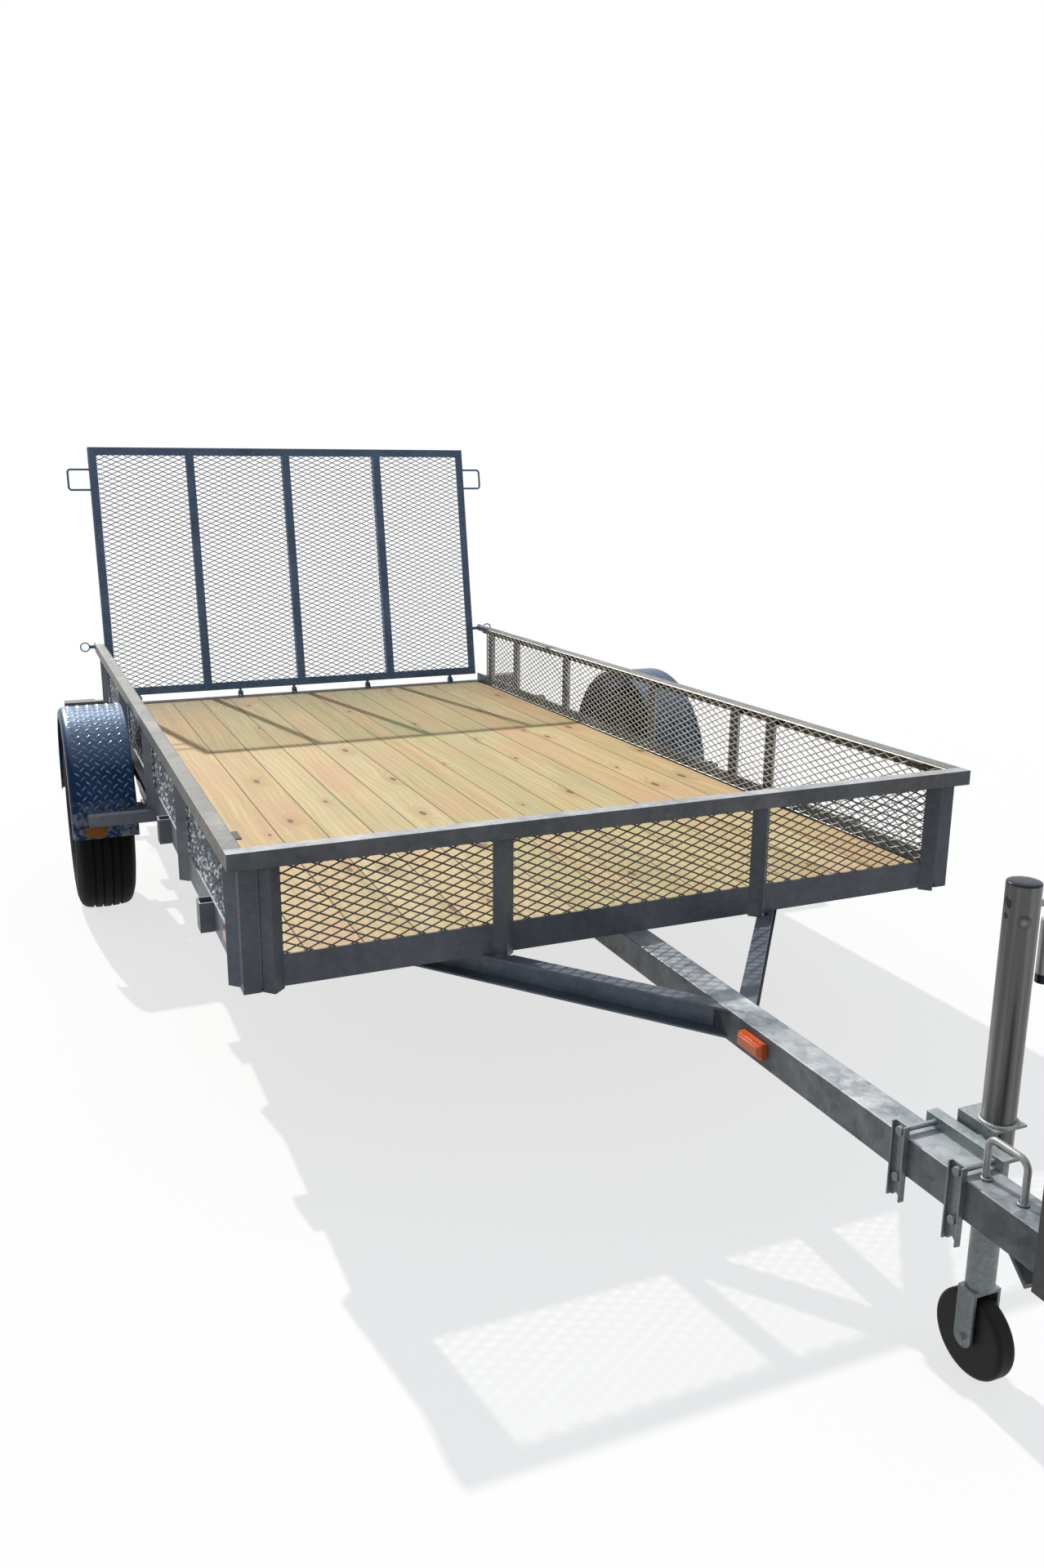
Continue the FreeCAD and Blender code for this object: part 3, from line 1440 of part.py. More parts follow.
latches = []
for side in (1, -1):
    plate = outward(side, f"{TOP_OUT} - top_wall", TOP_OUT)
    run = (REAR, f"{REAR} + latch_block_length")
    latches.append(block(plate, run, (f"{SIDE_TOP} - latch_block_height", SIDE_TOP)))
    pin_y = f"{REAR} + latch_setback"
    pin_z = f"{SIDE_TOP} - latch_pin_drop"
    pin_start = f"{GATE_SIDE} + latch_pin_gap"
    start = pin_start if side > 0 else f"-({pin_start})"
    latches.append(
        rod("+x" if side > 0 else "-x", (start, pin_y, pin_z), "latch_pin_size / 2", "latch_pin_length"),
    )
    ring = doc.addObject("Part::Torus", "ring")
    bind(ring, "Radius1", "latch_ring_radius")
    bind(ring, "Radius2", "latch_ring_rod / 2")
    ring_x = f"{pin_start} + latch_pin_length + latch_ring_radius"
    latches.append(seat(ring, (ring_x if side > 0 else f"-({ring_x})", pin_y, pin_z), (1, 0, 0), "90"))
node("gate_latches", *latches)


# ---------------------------------------------------------------- check and write
doc.recompute()
for thing in doc.Objects:
    if "Invalid" in thing.State or "Error" in thing.State:
        raise RuntimeError(f"{thing.Label} did not recompute: {thing.State}")
for piece in nodes:
    if piece.Shape.isNull() or not piece.Shape.isValid():
        raise RuntimeError(f"{piece.Label} has no valid shape")

os.makedirs("parts", exist_ok=True)
whole_box = FreeCAD.BoundBox()
for piece in nodes:
    piece.Shape.exportStep(f"parts/{piece.Label}.step")
    whole_box.add(piece.Shape.BoundBox)
print(len(nodes), "nodes")
print("box", whole_box)
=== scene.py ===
import math

import bmesh
import bpy
from mathutils import Matrix, Vector


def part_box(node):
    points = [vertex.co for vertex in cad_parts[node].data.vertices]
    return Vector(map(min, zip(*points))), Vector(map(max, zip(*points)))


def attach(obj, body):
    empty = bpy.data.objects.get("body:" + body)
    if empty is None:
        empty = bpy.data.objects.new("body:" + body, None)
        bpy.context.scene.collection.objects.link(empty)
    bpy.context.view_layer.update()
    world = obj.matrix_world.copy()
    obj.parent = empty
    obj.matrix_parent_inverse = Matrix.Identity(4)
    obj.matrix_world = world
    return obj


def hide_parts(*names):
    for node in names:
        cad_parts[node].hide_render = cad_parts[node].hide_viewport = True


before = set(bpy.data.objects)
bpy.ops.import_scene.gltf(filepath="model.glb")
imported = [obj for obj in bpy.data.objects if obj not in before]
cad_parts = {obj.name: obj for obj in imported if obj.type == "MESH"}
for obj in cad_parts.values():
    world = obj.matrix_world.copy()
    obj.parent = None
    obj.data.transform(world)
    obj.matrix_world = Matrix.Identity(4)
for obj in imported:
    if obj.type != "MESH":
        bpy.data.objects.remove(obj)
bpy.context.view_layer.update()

# ---------------------------------------------------------------- studio
# A pale floor under even light with one strong lamp behind the trailer, which is seen from its front left
# corner at head height. The background is white, and the floor keeps the trailer's shadow.
FLOOR_SIZE = 60
FLOOR_LIFT = 0.72
TO_LAMP = Vector((-0.21, 1.24, 1.0))
scene = bpy.context.scene
scene.view_settings.view_transform = "Standard"

camera_data = bpy.data.cameras.new("camera")
camera_data.sensor_width = 36
camera_data.lens = 27.53
camera_data.shift_x = 0.0198
camera_data.shift_y = -0.00625
camera = bpy.data.objects.new("camera", camera_data)
camera.location = (-1.4054, -3.6715, 1.5763)
camera.rotation_euler = (math.radians(76.18), math.radians(0.04), math.radians(-21.95))
scene.collection.objects.link(camera)
scene.camera = camera

lamp_data = bpy.data.lights.new("soft_lamp", "SUN")
lamp_data.energy = 3.5
lamp_data.angle = math.radians(0.9)
lamp_data.color = (1.0, 0.97, 0.92)
lamp = bpy.data.objects.new("soft_lamp", lamp_data)
lamp.rotation_euler = TO_LAMP.to_track_quat("Z", "Y").to_euler()
scene.collection.objects.link(lamp)


def new_material(name):
    """A node material with its Principled shader ready."""
    material = bpy.data.materials.new(name)
    material.use_nodes = True
    shader = material.node_tree.nodes["Principled BSDF"]
    return material, material.node_tree, shader


def add_node(tree, kind, **settings):
    """One node with its settings; names that are inputs set the socket's value."""
    made = tree.nodes.new(kind)
    for name, value in settings.items():
        if hasattr(made, name):
            setattr(made, name, value)
        else:
            made.inputs[name.replace("_", " ")].default_value = value
    return made


def maths(tree, operation, a, b=None):
    """A Math node fed by sockets or numbers, giving its output socket."""
    made = tree.nodes.new("ShaderNodeMath")
    made.operation = operation
    for slot, value in enumerate((a, b)):
        if value is None:
            continue
        if isinstance(value, (int, float)):
            made.inputs[slot].default_value = value
        else:
            tree.links.new(value, made.inputs[slot])
    return made.outputs[0]


def shown_white(tree, camera_share):
    """How far a ray sees plain white: a share of the camera's rays, and all those from metal and glass."""
    path = add_node(tree, "ShaderNodeLightPath")
    mirrored = maths(tree, "MAXIMUM", path.outputs["Is Glossy Ray"], path.outputs["Is Transmission Ray"])
    seen = maths(tree, "MULTIPLY", path.outputs["Is Camera Ray"], camera_share)
    return maths(tree, "MAXIMUM", seen, mirrored)


world = bpy.data.worlds.new("studio")
scene.world = world
world.use_nodes = True
sky = world.node_tree
sky.nodes.clear()
white = add_node(sky, "ShaderNodeBackground", Color=(1, 1, 1, 1), Strength=1.0)
soft = add_node(sky, "ShaderNodeBackground", Color=(0.78, 0.89, 1.0, 1), Strength=0.385)
pick = add_node(sky, "ShaderNodeMixShader")
world_out = add_node(sky, "ShaderNodeOutputWorld")
sky.links.new(shown_white(sky, 1.0), pick.inputs[0])
sky.links.new(soft.outputs[0], pick.inputs[1])
sky.links.new(white.outputs[0], pick.inputs[2])
sky.links.new(pick.outputs[0], world_out.inputs[0])

bpy.ops.object.select_all(action="DESELECT")
bpy.ops.mesh.primitive_plane_add(size=FLOOR_SIZE, location=(0, 0, 0))
floor = bpy.context.object
floor.name = "studio_floor"
floor_material, tree, shader = new_material("pale_floor")
shader.inputs["Roughness"].default_value = 0.9
seen = add_node(tree, "ShaderNodeLightPath")
shade = add_node(tree, "ShaderNodeMix", data_type="RGBA")
shade.inputs[6].default_value = (0.36, 0.36, 0.36, 1)
shade.inputs[7].default_value = (0.95, 0.95, 0.95, 1)
tree.links.new(seen.outputs["Is Camera Ray"], shade.inputs[0])
tree.links.new(shade.outputs[2], shader.inputs["Base Color"])
lit = add_node(tree, "ShaderNodeEmission", Color=(1, 1, 1, 1), Strength=1.0)
lift = add_node(tree, "ShaderNodeMixShader")
tree.links.new(shown_white(tree, FLOOR_LIFT), lift.inputs[0])
tree.links.new(shader.outputs[0], lift.inputs[1])
tree.links.new(lit.outputs[0], lift.inputs[2])
tree.links.new(lift.outputs[0], tree.nodes["Material Output"].inputs[0])
floor.data.materials.append(floor_material)

# ---------------------------------------------------------------- deck boards
# Pressure-treated pine boards laid lengthwise, thirteen wide ones and a narrow one, planed and unpainted.
# Each is a different plank, so each has its own tint, grain, streaks and knots.
WIDE_BOARD, NARROW_BOARD, BOARD_GAP = 0.140, 0.089, 0.0015
BOARD_PITCH = WIDE_BOARD + BOARD_GAP
DECK_HALF = 0.9642
# lies in the gap past the narrow board
NARROW_END = 0.116
RING_TINT, KNOT_TINT, CORE_TINT = (0.47, 0.30, 0.13), (0.40, 0.21, 0.08), (0.13, 0.06, 0.025)
BLUSH_TINT, GREEN_TINT = (0.66, 0.36, 0.22), (0.46, 0.43, 0.22)
REAR_DARKENING_TINT, CRUMB_TINT, JOINT_TINT = (0.31, 0.28, 0.15), (0.12, 0.10, 0.06), (0.09, 0.055, 0.028)
REAR_FROM, REAR_SLOPE = 1.75, 1.6
ARRIS = 0.0028


def dress(node_names, material):
    """Gives the named nodes of the trailer one finish."""
    for name in node_names:
        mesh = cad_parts[name].data
        mesh.materials.clear()
        mesh.materials.append(material)
        for face in mesh.polygons:
            face.material_index = 0


def ramp(tree, source, *stops):
    """A colour ramp through (place, colour) stops, giving its colour socket."""
    made = tree.nodes.new("ShaderNodeValToRGB")
    while len(made.color_ramp.elements) < len(stops):
        made.color_ramp.elements.new(0.5)
    for element, (place, colour) in zip(made.color_ramp.elements, stops):
        element.position = place
        element.color = (colour, colour, colour, 1) if isinstance(colour, float) else (*colour, 1)
    tree.links.new(source, made.inputs[0])
    return made.outputs[0]


def mix(tree, share, a, b, blend="MIX"):
    """A colour mix; share, a and b are sockets, numbers or colours."""
    made = tree.nodes.new("ShaderNodeMix")
    made.data_type = "RGBA"
    made.blend_type = blend
    for slot, value in ((0, share), (6, a), (7, b)):
        if isinstance(value, (int, float)):
            made.inputs[slot].default_value = value
        elif isinstance(value, tuple):
            made.inputs[slot].default_value = (*value, 1)
        else:
            tree.links.new(value, made.inputs[slot])
    return made.outputs[2]


def at_object(tree):
    """The piece's own coordinates."""
    return add_node(tree, "ShaderNodeTexCoord").outputs["Object"]


def split(tree, source, kind="ShaderNodeSeparateXYZ"):
    """The three parts of a vector or, with the other kind, of a colour."""
    made = add_node(tree, kind)
    tree.links.new(source, made.inputs[0])
    return made.outputs


def stretched(tree, source, scale):
    """Coordinates scaled along each axis."""
    made = add_node(tree, "ShaderNodeMapping")
    made.inputs["Scale"].default_value = scale
    tree.links.new(source, made.inputs[0])
    return made.outputs[0]


def texture(tree, kind, source=None, **settings):
    """A texture node over the source, or else over the piece's own coordinates."""
    made = add_node(tree, "ShaderNodeTex" + kind, **settings)
    tree.links.new(source or at_object(tree), made.inputs["Vector"])
    return made


def scaled(tree, source, span, base):
    """The source times span, plus base."""
    return maths(tree, "ADD", maths(tree, "MULTIPLY", source, span), base)


def clamped(tree, source):
    """The source kept between 0 and 1."""
    return maths(tree, "MINIMUM", maths(tree, "MAXIMUM", source, 0.0), 1.0)


def colour_of(tree, shader, colour, roughness):
    """Feeds a shader its colour and its roughness."""
    tree.links.new(colour, shader.inputs["Base Color"])
    tree.links.new(roughness, shader.inputs["Roughness"])


def bumped(tree, shader, height, strength, distance):
    """Feeds a shader's normal with a bump of this height, and gives the bump node."""
    made = add_node(tree, "ShaderNodeBump", Strength=strength, Distance=distance)
    tree.links.new(height, made.inputs["Height"])
    tree.links.new(made.outputs[0], shader.inputs["Normal"])
    return made


pine, tree, shader = new_material("treated_pine")
across, along, up = split(tree, at_object(tree))
past_narrow = maths(tree, "GREATER_THAN", across, NARROW_END)
past = maths(tree, "MULTIPLY", past_narrow, WIDE_BOARD - NARROW_BOARD)
shifted = maths(tree, "ADD", maths(tree, "ADD", across, past), DECK_HALF)
boards_in = maths(tree, "DIVIDE", shifted, BOARD_PITCH)
plank = maths(tree, "FLOOR", boards_in)
pick_tint = add_node(tree, "ShaderNodeTexWhiteNoise", noise_dimensions="1D")
tree.links.new(maths(tree, "ADD", plank, 3.0), pick_tint.inputs["W"])
own = split(tree, pick_tint.outputs["Color"], "ShaderNodeSeparateColor")
in_plank = add_node(tree, "ShaderNodeCombineXYZ")
tree.links.new(maths(tree, "ADD", across, maths(tree, "MULTIPLY", own[1], 11.0)), in_plank.inputs[0])
tree.links.new(maths(tree, "ADD", along, maths(tree, "MULTIPLY", own[0], 37.0)), in_plank.inputs[1])
tree.links.new(up, in_plank.inputs[2])
in_plank = in_plank.outputs[0]
# knots sit in stretched cells, and bend the grain round them
knots = texture(tree, "Voronoi", stretched(tree, in_plank, (5.6, 2.1, 1.0)), voronoi_dimensions="2D",
    Scale=1.0, Randomness=1.0)
knot_own = split(tree, knots.outputs["Color"], "ShaderNodeSeparateColor")
has_knot = maths(tree, "GREATER_THAN", knot_own[0], 0.55)
knot_size = scaled(tree, knot_own[1], 0.05, 0.022)
knot_reach = maths(tree, "DIVIDE", knots.outputs["Distance"], maths(tree, "MULTIPLY", knot_size, 4.5))
knot_fade = maths(tree, "SUBTRACT", 1.0, maths(tree, "MINIMUM", knot_reach, 1.0))
near_knot = maths(tree, "MULTIPLY", has_knot, knot_fade)
in_core = maths(tree, "LESS_THAN", knots.outputs["Distance"], knot_size)
knot_core = maths(tree, "MULTIPLY", has_knot, in_core)
wander = texture(tree, "Noise", in_plank, Scale=1.3, Detail=4.0, Roughness=0.55)
bulge = add_node(tree, "ShaderNodeCombineXYZ")
sway = maths(tree, "MULTIPLY", wander.outputs[0], 3.0)
tree.links.new(maths(tree, "ADD", sway, maths(tree, "MULTIPLY", near_knot, 1.8)), bulge.inputs[0])
bend = add_node(tree, "ShaderNodeVectorMath", operation="ADD")
tree.links.new(stretched(tree, in_plank, (30.0, 0.9, 30.0)), bend.inputs[0])
tree.links.new(bulge.outputs[0], bend.inputs[1])
grain = texture(tree, "Noise", bend.outputs[0], Scale=1.1, Detail=6.0, Roughness=0.6, Distortion=0.3)
rings = texture(tree, "Wave", bend.outputs[0], wave_type="BANDS", bands_direction="X", Scale=0.42,
    Distortion=2.0, Detail=2.0)
wood = ramp(tree, grain.outputs[0], (0.28, (0.50, 0.355, 0.165)), (0.48, (0.66, 0.51, 0.275)),
    (0.72, (0.74, 0.60, 0.355)))
wood = mix(tree, maths(tree, "MULTIPLY", rings.outputs[1], 0.30), wood, RING_TINT)
plank_tint = ramp(tree, own[2], (0.0, (0.86, 0.92, 0.78)), (0.25, (1.06, 1.05, 0.98)),
    (0.5, (1.04, 0.93, 0.82)), (0.75, (0.93, 0.94, 0.84)), (1.0, (1.12, 1.10, 1.06)))
wood = mix(tree, 1.0, wood, plank_tint, "MULTIPLY")
blush = texture(tree, "Noise", in_plank, Scale=1.7, Detail=2.0)
blush_share = ramp(tree, blush.outputs[0], (0.50, 0.0), (0.66, 1.0))
wood = mix(tree, maths(tree, "MULTIPLY", blush_share, 0.42), wood, BLUSH_TINT)
green_share = ramp(tree, blush.outputs[0], (0.34, 1.0), (0.46, 0.0))
wood = mix(tree, maths(tree, "MULTIPLY", green_share, 0.36), wood, GREEN_TINT)
wood = mix(tree, maths(tree, "MULTIPLY", near_knot, 0.5), wood, KNOT_TINT)
wood = mix(tree, maths(tree, "MULTIPLY", knot_core, 0.85), wood, CORE_TINT)
# the rear of the deck darkens towards the gate, and crumbs of dirt carried in over the ramp lie there
into_rear = maths(tree, "MULTIPLY", maths(tree, "SUBTRACT", along, REAR_FROM), REAR_SLOPE)
near_gate = clamped(tree, into_rear)
crumbs = texture(tree, "Noise", Scale=75.0, Detail=4.0, Roughness=0.7)
wood = mix(tree, maths(tree, "MULTIPLY", near_gate, 0.45), wood, REAR_DARKENING_TINT)
crumb_share = maths(tree, "MULTIPLY", ramp(tree, crumbs.outputs[0], (0.50, 0.0), (0.62, 1.0)), near_gate)
wood = mix(tree, maths(tree, "MULTIPLY", crumb_share, 0.7), wood, CRUMB_TINT)
# the arris of each plank is rounded and holds dirt
from_edge = maths(tree, "MULTIPLY", maths(tree, "PINGPONG", boards_in, 0.5), BOARD_PITCH)
in_joint = maths(tree, "LESS_THAN", from_edge, ARRIS)
wood = mix(tree, maths(tree, "MULTIPLY", in_joint, 0.62), wood, JOINT_TINT)
colour_of(tree, shader, wood, scaled(tree, grain.outputs[0], 0.2, 0.6))
bumped(tree, shader, grain.outputs[0], 0.3, 0.002)
dress(["deck_boards"], pine)

# ---------------------------------------------------------------- deck screws
# Two countersunk self-drilling screws hold each board to every cross member; their heads sit just in the wood
# and have weathered dark.
BOARDS, NARROW_PLACE = 14, 7
CROSS_MEMBERS, CROSS_FIRST, CROSS_PITCH, CROSS_HALF = 6, 0.268, 0.640, 0.019
SCREW_HEAD, SCREW_INSET, SCREW_SINK, SCREW_STRAY = 0.0034, 0.028, 0.0009, 0.004


def only(piece):
    """Makes one piece the selected and active one."""
    bpy.ops.object.select_all(action="DESELECT")
    piece.select_set(True)
    bpy.context.view_layer.objects.active = piece


def turned(name, profile, segments=48):
    """A piece of revolution about Z: a circle extruded from point to point of (height, radius)."""
    bpy.ops.object.select_all(action="DESELECT")
    bpy.ops.mesh.primitive_circle_add(vertices=segments, radius=profile[0][1], location=(0, 0, profile[0][0]))
    piece = bpy.context.object
    piece.name = name
    bpy.ops.object.transform_apply(location=True, rotation=False, scale=False)
    bpy.ops.object.mode_set(mode="EDIT")
    bpy.ops.mesh.select_all(action="SELECT")
    for (low, wide), (high, narrow) in zip(profile, profile[1:]):
        bpy.ops.mesh.extrude_region_move(TRANSFORM_OT_translate={"value": (0, 0, high - low)})
        if narrow != wide:
            bpy.ops.transform.resize(value=(narrow / wide, narrow / wide, 1), center_override=(0, 0, high))
    bpy.ops.mesh.select_all(action="SELECT")
    bpy.ops.mesh.remove_doubles(threshold=0.00002)
    bpy.ops.mesh.normals_make_consistent(inside=False)
    bpy.ops.object.mode_set(mode="OBJECT")
    return piece


def set_at(piece, *places):
    """Puts a copy of the piece at each matrix and joins them into one mesh about the trailer's origin."""
    pattern = piece.data
    whole = bmesh.new()
    for place in places:
        single = pattern.copy()
        single.transform(place)
        if place.determinant() < 0:
            single.flip_normals()
        whole.from_mesh(single)
        bpy.data.meshes.remove(single)
    piece.data = bpy.data.meshes.new(piece.name)
    whole.to_mesh(piece.data)
    whole.free()
    bpy.data.meshes.remove(pattern)
    piece.matrix_world = Matrix.Identity(4)
    return piece


def finished(piece, material, body, smooth=None):
    """Gives a finished piece its material and its body, and smooths faces below an angle."""
    piece.data.materials.clear()
    piece.data.materials.append(material)
    if smooth:
        only(piece)
        bpy.ops.object.shade_smooth_by_angle(angle=math.radians(smooth))
    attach(piece, body)


def mottled(name, scale, stops, gloss, detail=2.0, crumble=0.5, metallic=0.0, specular=0.5):
    """A finish mottled by one noise, which its colour stops and its roughness (span, base) follow."""
    material, tree, shader = new_material(name)
    noise = texture(tree, "Noise", Scale=scale, Detail=detail, Roughness=crumble)
    colour_of(tree, shader, ramp(tree, noise.outputs[0], *stops), scaled(tree, noise.outputs[0], *gloss))
    shader.inputs["Metallic"].default_value = metallic
    shader.inputs["Specular IOR Level"].default_value = specular
    return material


deck_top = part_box("deck_boards")[1][2]
frame_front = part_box("front_rail")[0][1]
places = []
edge = -DECK_HALF
for number in range(BOARDS):
    wide = NARROW_BOARD if number == NARROW_PLACE else WIDE_BOARD
    for member in range(CROSS_MEMBERS):
        y = frame_front + CROSS_FIRST + member * CROSS_PITCH + CROSS_HALF
        y += SCREW_STRAY * math.sin(7 * number + 3 * member)
        for inset in (SCREW_INSET, wide - SCREW_INSET):
            places.append(Matrix.Translation((edge + inset, y, deck_top - SCREW_SINK)))
    edge += wide + BOARD_GAP
screws = turned("deck_screws", [(-0.001, SCREW_HEAD), (0.001, SCREW_HEAD), (0.0013, SCREW_HEAD * 0.8),
    (0.0005, SCREW_HEAD * 0.35), (0.0005, 0.0002)], 12)
set_at(screws, *places)
screw_steel = mottled("weathered_screw", 300.0, ((0.35, (0.13, 0.10, 0.07)), (0.7, (0.30, 0.25, 0.18))),
    (0.3, 0.4), detail=3.0, metallic=0.5)
finished(screws, screw_steel, "chassis")

# ---------------------------------------------------------------- galvanised frame
# Hot-dip galvanised angle, channel and box steel, welded and then dipped, with zinc spangle and runs.
# One effect group gives the dip's spangle, its streaks and the grey bloom that settles on it, and paints the
# faces that lie upwards brighter for the lamp's light on them.
BLOOM_TINT = (0.44, 0.435, 0.42)


def facing_up(tree):
    """How far a surface lies upwards: the height of its normal."""
    return split(tree, add_node(tree, "ShaderNodeTexCoord").outputs["Normal"])[2]


dip = bpy.data.node_groups.new("zinc_dip", "ShaderNodeTree")
for name, kind, start in (
        ("Spangle Size", "NodeSocketFloat", 55.0),
        ("Dark", "NodeSocketColor", (0.20, 0.23, 0.26, 1)),
        ("Bright", "NodeSocketColor", (0.42, 0.45, 0.47, 1)),
        ("Bloom", "NodeSocketFloat", 0.4),
        ("Painted Top Light", "NodeSocketFloat", 1.0)):
    socket = dip.interface.new_socket(name=name, in_out="INPUT", socket_type=kind)
    socket.default_value = start
for name, kind in (
        ("Colour", "NodeSocketColor"),
        ("Roughness", "NodeSocketFloat"),
        ("Height", "NodeSocketFloat")):
    dip.interface.new_socket(name=name, in_out="OUTPUT", socket_type=kind)
given = dip.nodes.new("NodeGroupInput")
result = dip.nodes.new("NodeGroupOutput")
here = at_object(dip)
flakes = texture(dip, "Voronoi", here, voronoi_dimensions="3D", Randomness=1.0)
dip.links.new(given.outputs["Spangle Size"], flakes.inputs["Scale"])
flake = split(dip, flakes.outputs["Color"], "ShaderNodeSeparateColor")
cloud = texture(dip, "Noise", here, Scale=5.0, Detail=6.0, Roughness=0.62).outputs[0]
runs = texture(dip, "Noise", stretched(dip, here, (24.0, 24.0, 2.5)), Scale=1.0, Detail=3.0).outputs[0]
patch = maths(dip, "ADD", maths(dip, "MULTIPLY", cloud, 0.85), maths(dip, "MULTIPLY", flake[0], 0.13))
patch = maths(dip, "ADD", patch, maths(dip, "MULTIPLY", maths(dip, "SUBTRACT", runs, 0.5), 0.3))
tone = ramp(dip, patch, (0.30, 0.0), (0.72, 1.0))
coat = mix(dip, tone, given.outputs["Dark"], given.outputs["Bright"])
bloom_at = texture(dip, "Noise", here, Scale=2.3, Detail=8.0, Roughness=0.72).outputs[0]
bloom = maths(dip, "MULTIPLY", ramp(dip, bloom_at, (0.54, 0.0), (0.66, 1.0)), given.outputs["Bloom"])
coat = mix(dip, bloom, coat, BLOOM_TINT)
# painted light: the faces that lie upwards are painted brighter than the upright ones, for the light that
# falls on them
upward = maths(dip, "MAXIMUM", facing_up(dip), 0.0)
upward = maths(dip, "MULTIPLY", upward, maths(dip, "SUBTRACT", given.outputs["Painted Top Light"], 1.0))
lifted = add_node(dip, "ShaderNodeVectorMath", operation="SCALE")
dip.links.new(coat, lifted.inputs[0])
dip.links.new(maths(dip, "ADD", upward, 1.0), lifted.inputs["Scale"])
dip.links.new(lifted.outputs[0], result.inputs["Colour"])
shine = maths(dip, "ADD", maths(dip, "MULTIPLY", flake[1], 0.14), scaled(dip, bloom, 0.2, 0.38))
dip.links.new(shine, result.inputs["Roughness"])
lumps = maths(dip, "ADD", maths(dip, "MULTIPLY", cloud, 0.6), maths(dip, "MULTIPLY", runs, 0.4))
dip.links.new(lumps, result.inputs["Height"])


def zinc_coat(name, spangle, dark, bright, bloom, metallic, rounding=0.0, painted_top_light=1.0):
    """A galvanised finish: its spangle, the two tones of the coat, how much grey bloom lies on it and how
    much brighter its top faces are painted for the light on them.
    """
    material, tree, shader = new_material(name)
    coat = tree.nodes.new("ShaderNodeGroup")
    coat.node_tree = dip
    for socket, value in (("Spangle Size", spangle), ("Dark", (*dark, 1)), ("Bright", (*bright, 1)),
            ("Bloom", bloom), ("Painted Top Light", painted_top_light)):
        coat.inputs[socket].default_value = value
    colour_of(tree, shader, coat.outputs["Colour"], coat.outputs["Roughness"])
    shader.inputs["Metallic"].default_value = metallic
    shader.inputs["Specular IOR Level"].default_value = 0.3
    bump = bumped(tree, shader, coat.outputs["Height"], 0.25, 0.002)
    if rounding:
        corner = add_node(tree, "ShaderNodeBevel", samples=4, Radius=rounding)
        tree.links.new(corner.outputs[0], bump.inputs["Normal"])
    return material


# painted shade: frame_zinc is painted dark for the shade on the frame's front faces; side_zinc and
# top_rail_zinc have their top faces painted brighter for the light on them
frame_zinc = zinc_coat("frame_zinc", 75.0, (0.085, 0.092, 0.108), (0.155, 0.165, 0.185), 0.10, 0.1)
dress(["front_rail", "rear_rail", "cross_members", "front_posts", "corner_angles"], frame_zinc)
dress(["axle", "spring_hangers", "tail_lamp_arms"], frame_zinc)
side_zinc = zinc_coat("side_zinc", 70.0, (0.115, 0.13, 0.155), (0.21, 0.225, 0.25), 0.2, 0.12, 0.0, 2.4)
dress(["side_rails", "side_posts", "stake_pockets", "fender_brackets"], side_zinc)
top_zinc = zinc_coat("top_rail_zinc", 65.0, (0.080, 0.080, 0.078), (0.145, 0.143, 0.132), 0.15, 0.15,
    0.004, 2.2)
dress(["top_rails_side"], top_zinc)
# painted shade: front_top_rail_zinc is painted darker and bluer for the shade on the front rail's face, and
# its top face much brighter for the light on it
front_top_zinc = zinc_coat("front_top_rail_zinc", 65.0, (0.085, 0.088, 0.094), (0.175, 0.178, 0.182), 0.25,
    0.15, 0.003, 3.8)
dress(["top_rail_front"], front_top_zinc)

# ---------------------------------------------------------------- expanded-metal walls
# Sheets of expanded steel tacked inside the posts of the front and side walls: slit, stretched into diamonds
# 54 mm long and 23 mm high, and galvanised with the frame. The strands stand a little off the sheet's plane.
LONG_WAY, SHORT_WAY = 0.054, 0.0233
FRONT_STRAND, FRONT_DEPTH = 0.0041, 0.0030
SIDE_STRAND, SIDE_DEPTH, SIDE_INSET = 0.0043, 0.0058, 0.0018
UPRIGHT = Matrix.Rotation(math.radians(90), 4, "X")


def expanded_sheet(name, low, high, strand, depth, stand):
    """Diamonds cut to a rectangle in the sheet's own plane, thickened into strands and stood in place."""
    width, height = high[0] - low[0], high[1] - low[1]
    cells = int(math.ceil(width / LONG_WAY + height / SHORT_WAY)) + 3
    bpy.ops.object.select_all(action="DESELECT")
    bpy.ops.mesh.primitive_grid_add(x_subdivisions=cells, y_subdivisions=cells, size=cells,
        rotation=(0, 0, math.radians(45)))
    sheet = bpy.context.object
    sheet.name = name
    bpy.ops.object.transform_apply(location=False, rotation=True, scale=False)
    bpy.ops.object.mode_set(mode="EDIT")
    bpy.ops.mesh.select_all(action="SELECT")
    bpy.ops.transform.resize(value=(LONG_WAY / math.sqrt(2), SHORT_WAY / math.sqrt(2), 1))
    for place, normal in (
            ((-width / 2, 0, 0), (-1, 0, 0)),
            ((width / 2, 0, 0), (1, 0, 0)),
            ((0, -height / 2, 0), (0, -1, 0)),
            ((0, height / 2, 0), (0, 1, 0))):
        bpy.ops.mesh.select_all(action="SELECT")
        bpy.ops.mesh.bisect(plane_co=place, plane_no=normal, clear_outer=True)
    bpy.ops.object.mode_set(mode="OBJECT")
    strands = sheet.modifiers.new("strands", "WIREFRAME")
    strands.thickness = strand
    strands.use_even_offset = True
    strands.use_boundary = True
    bpy.ops.object.modifier_apply(modifier="strands")
    bpy.ops.object.mode_set(mode="EDIT")
    bpy.ops.mesh.select_all(action="SELECT")
    bpy.ops.transform.resize(value=(1, 1, depth / strand))
    bpy.ops.object.mode_set(mode="OBJECT")
    sheet.matrix_world = stand @ Matrix.Translation(((low[0] + high[0]) / 2, (low[1] + high[1]) / 2, 0))
    bpy.ops.object.transform_apply(location=True, rotation=True, scale=True)
    return sheet


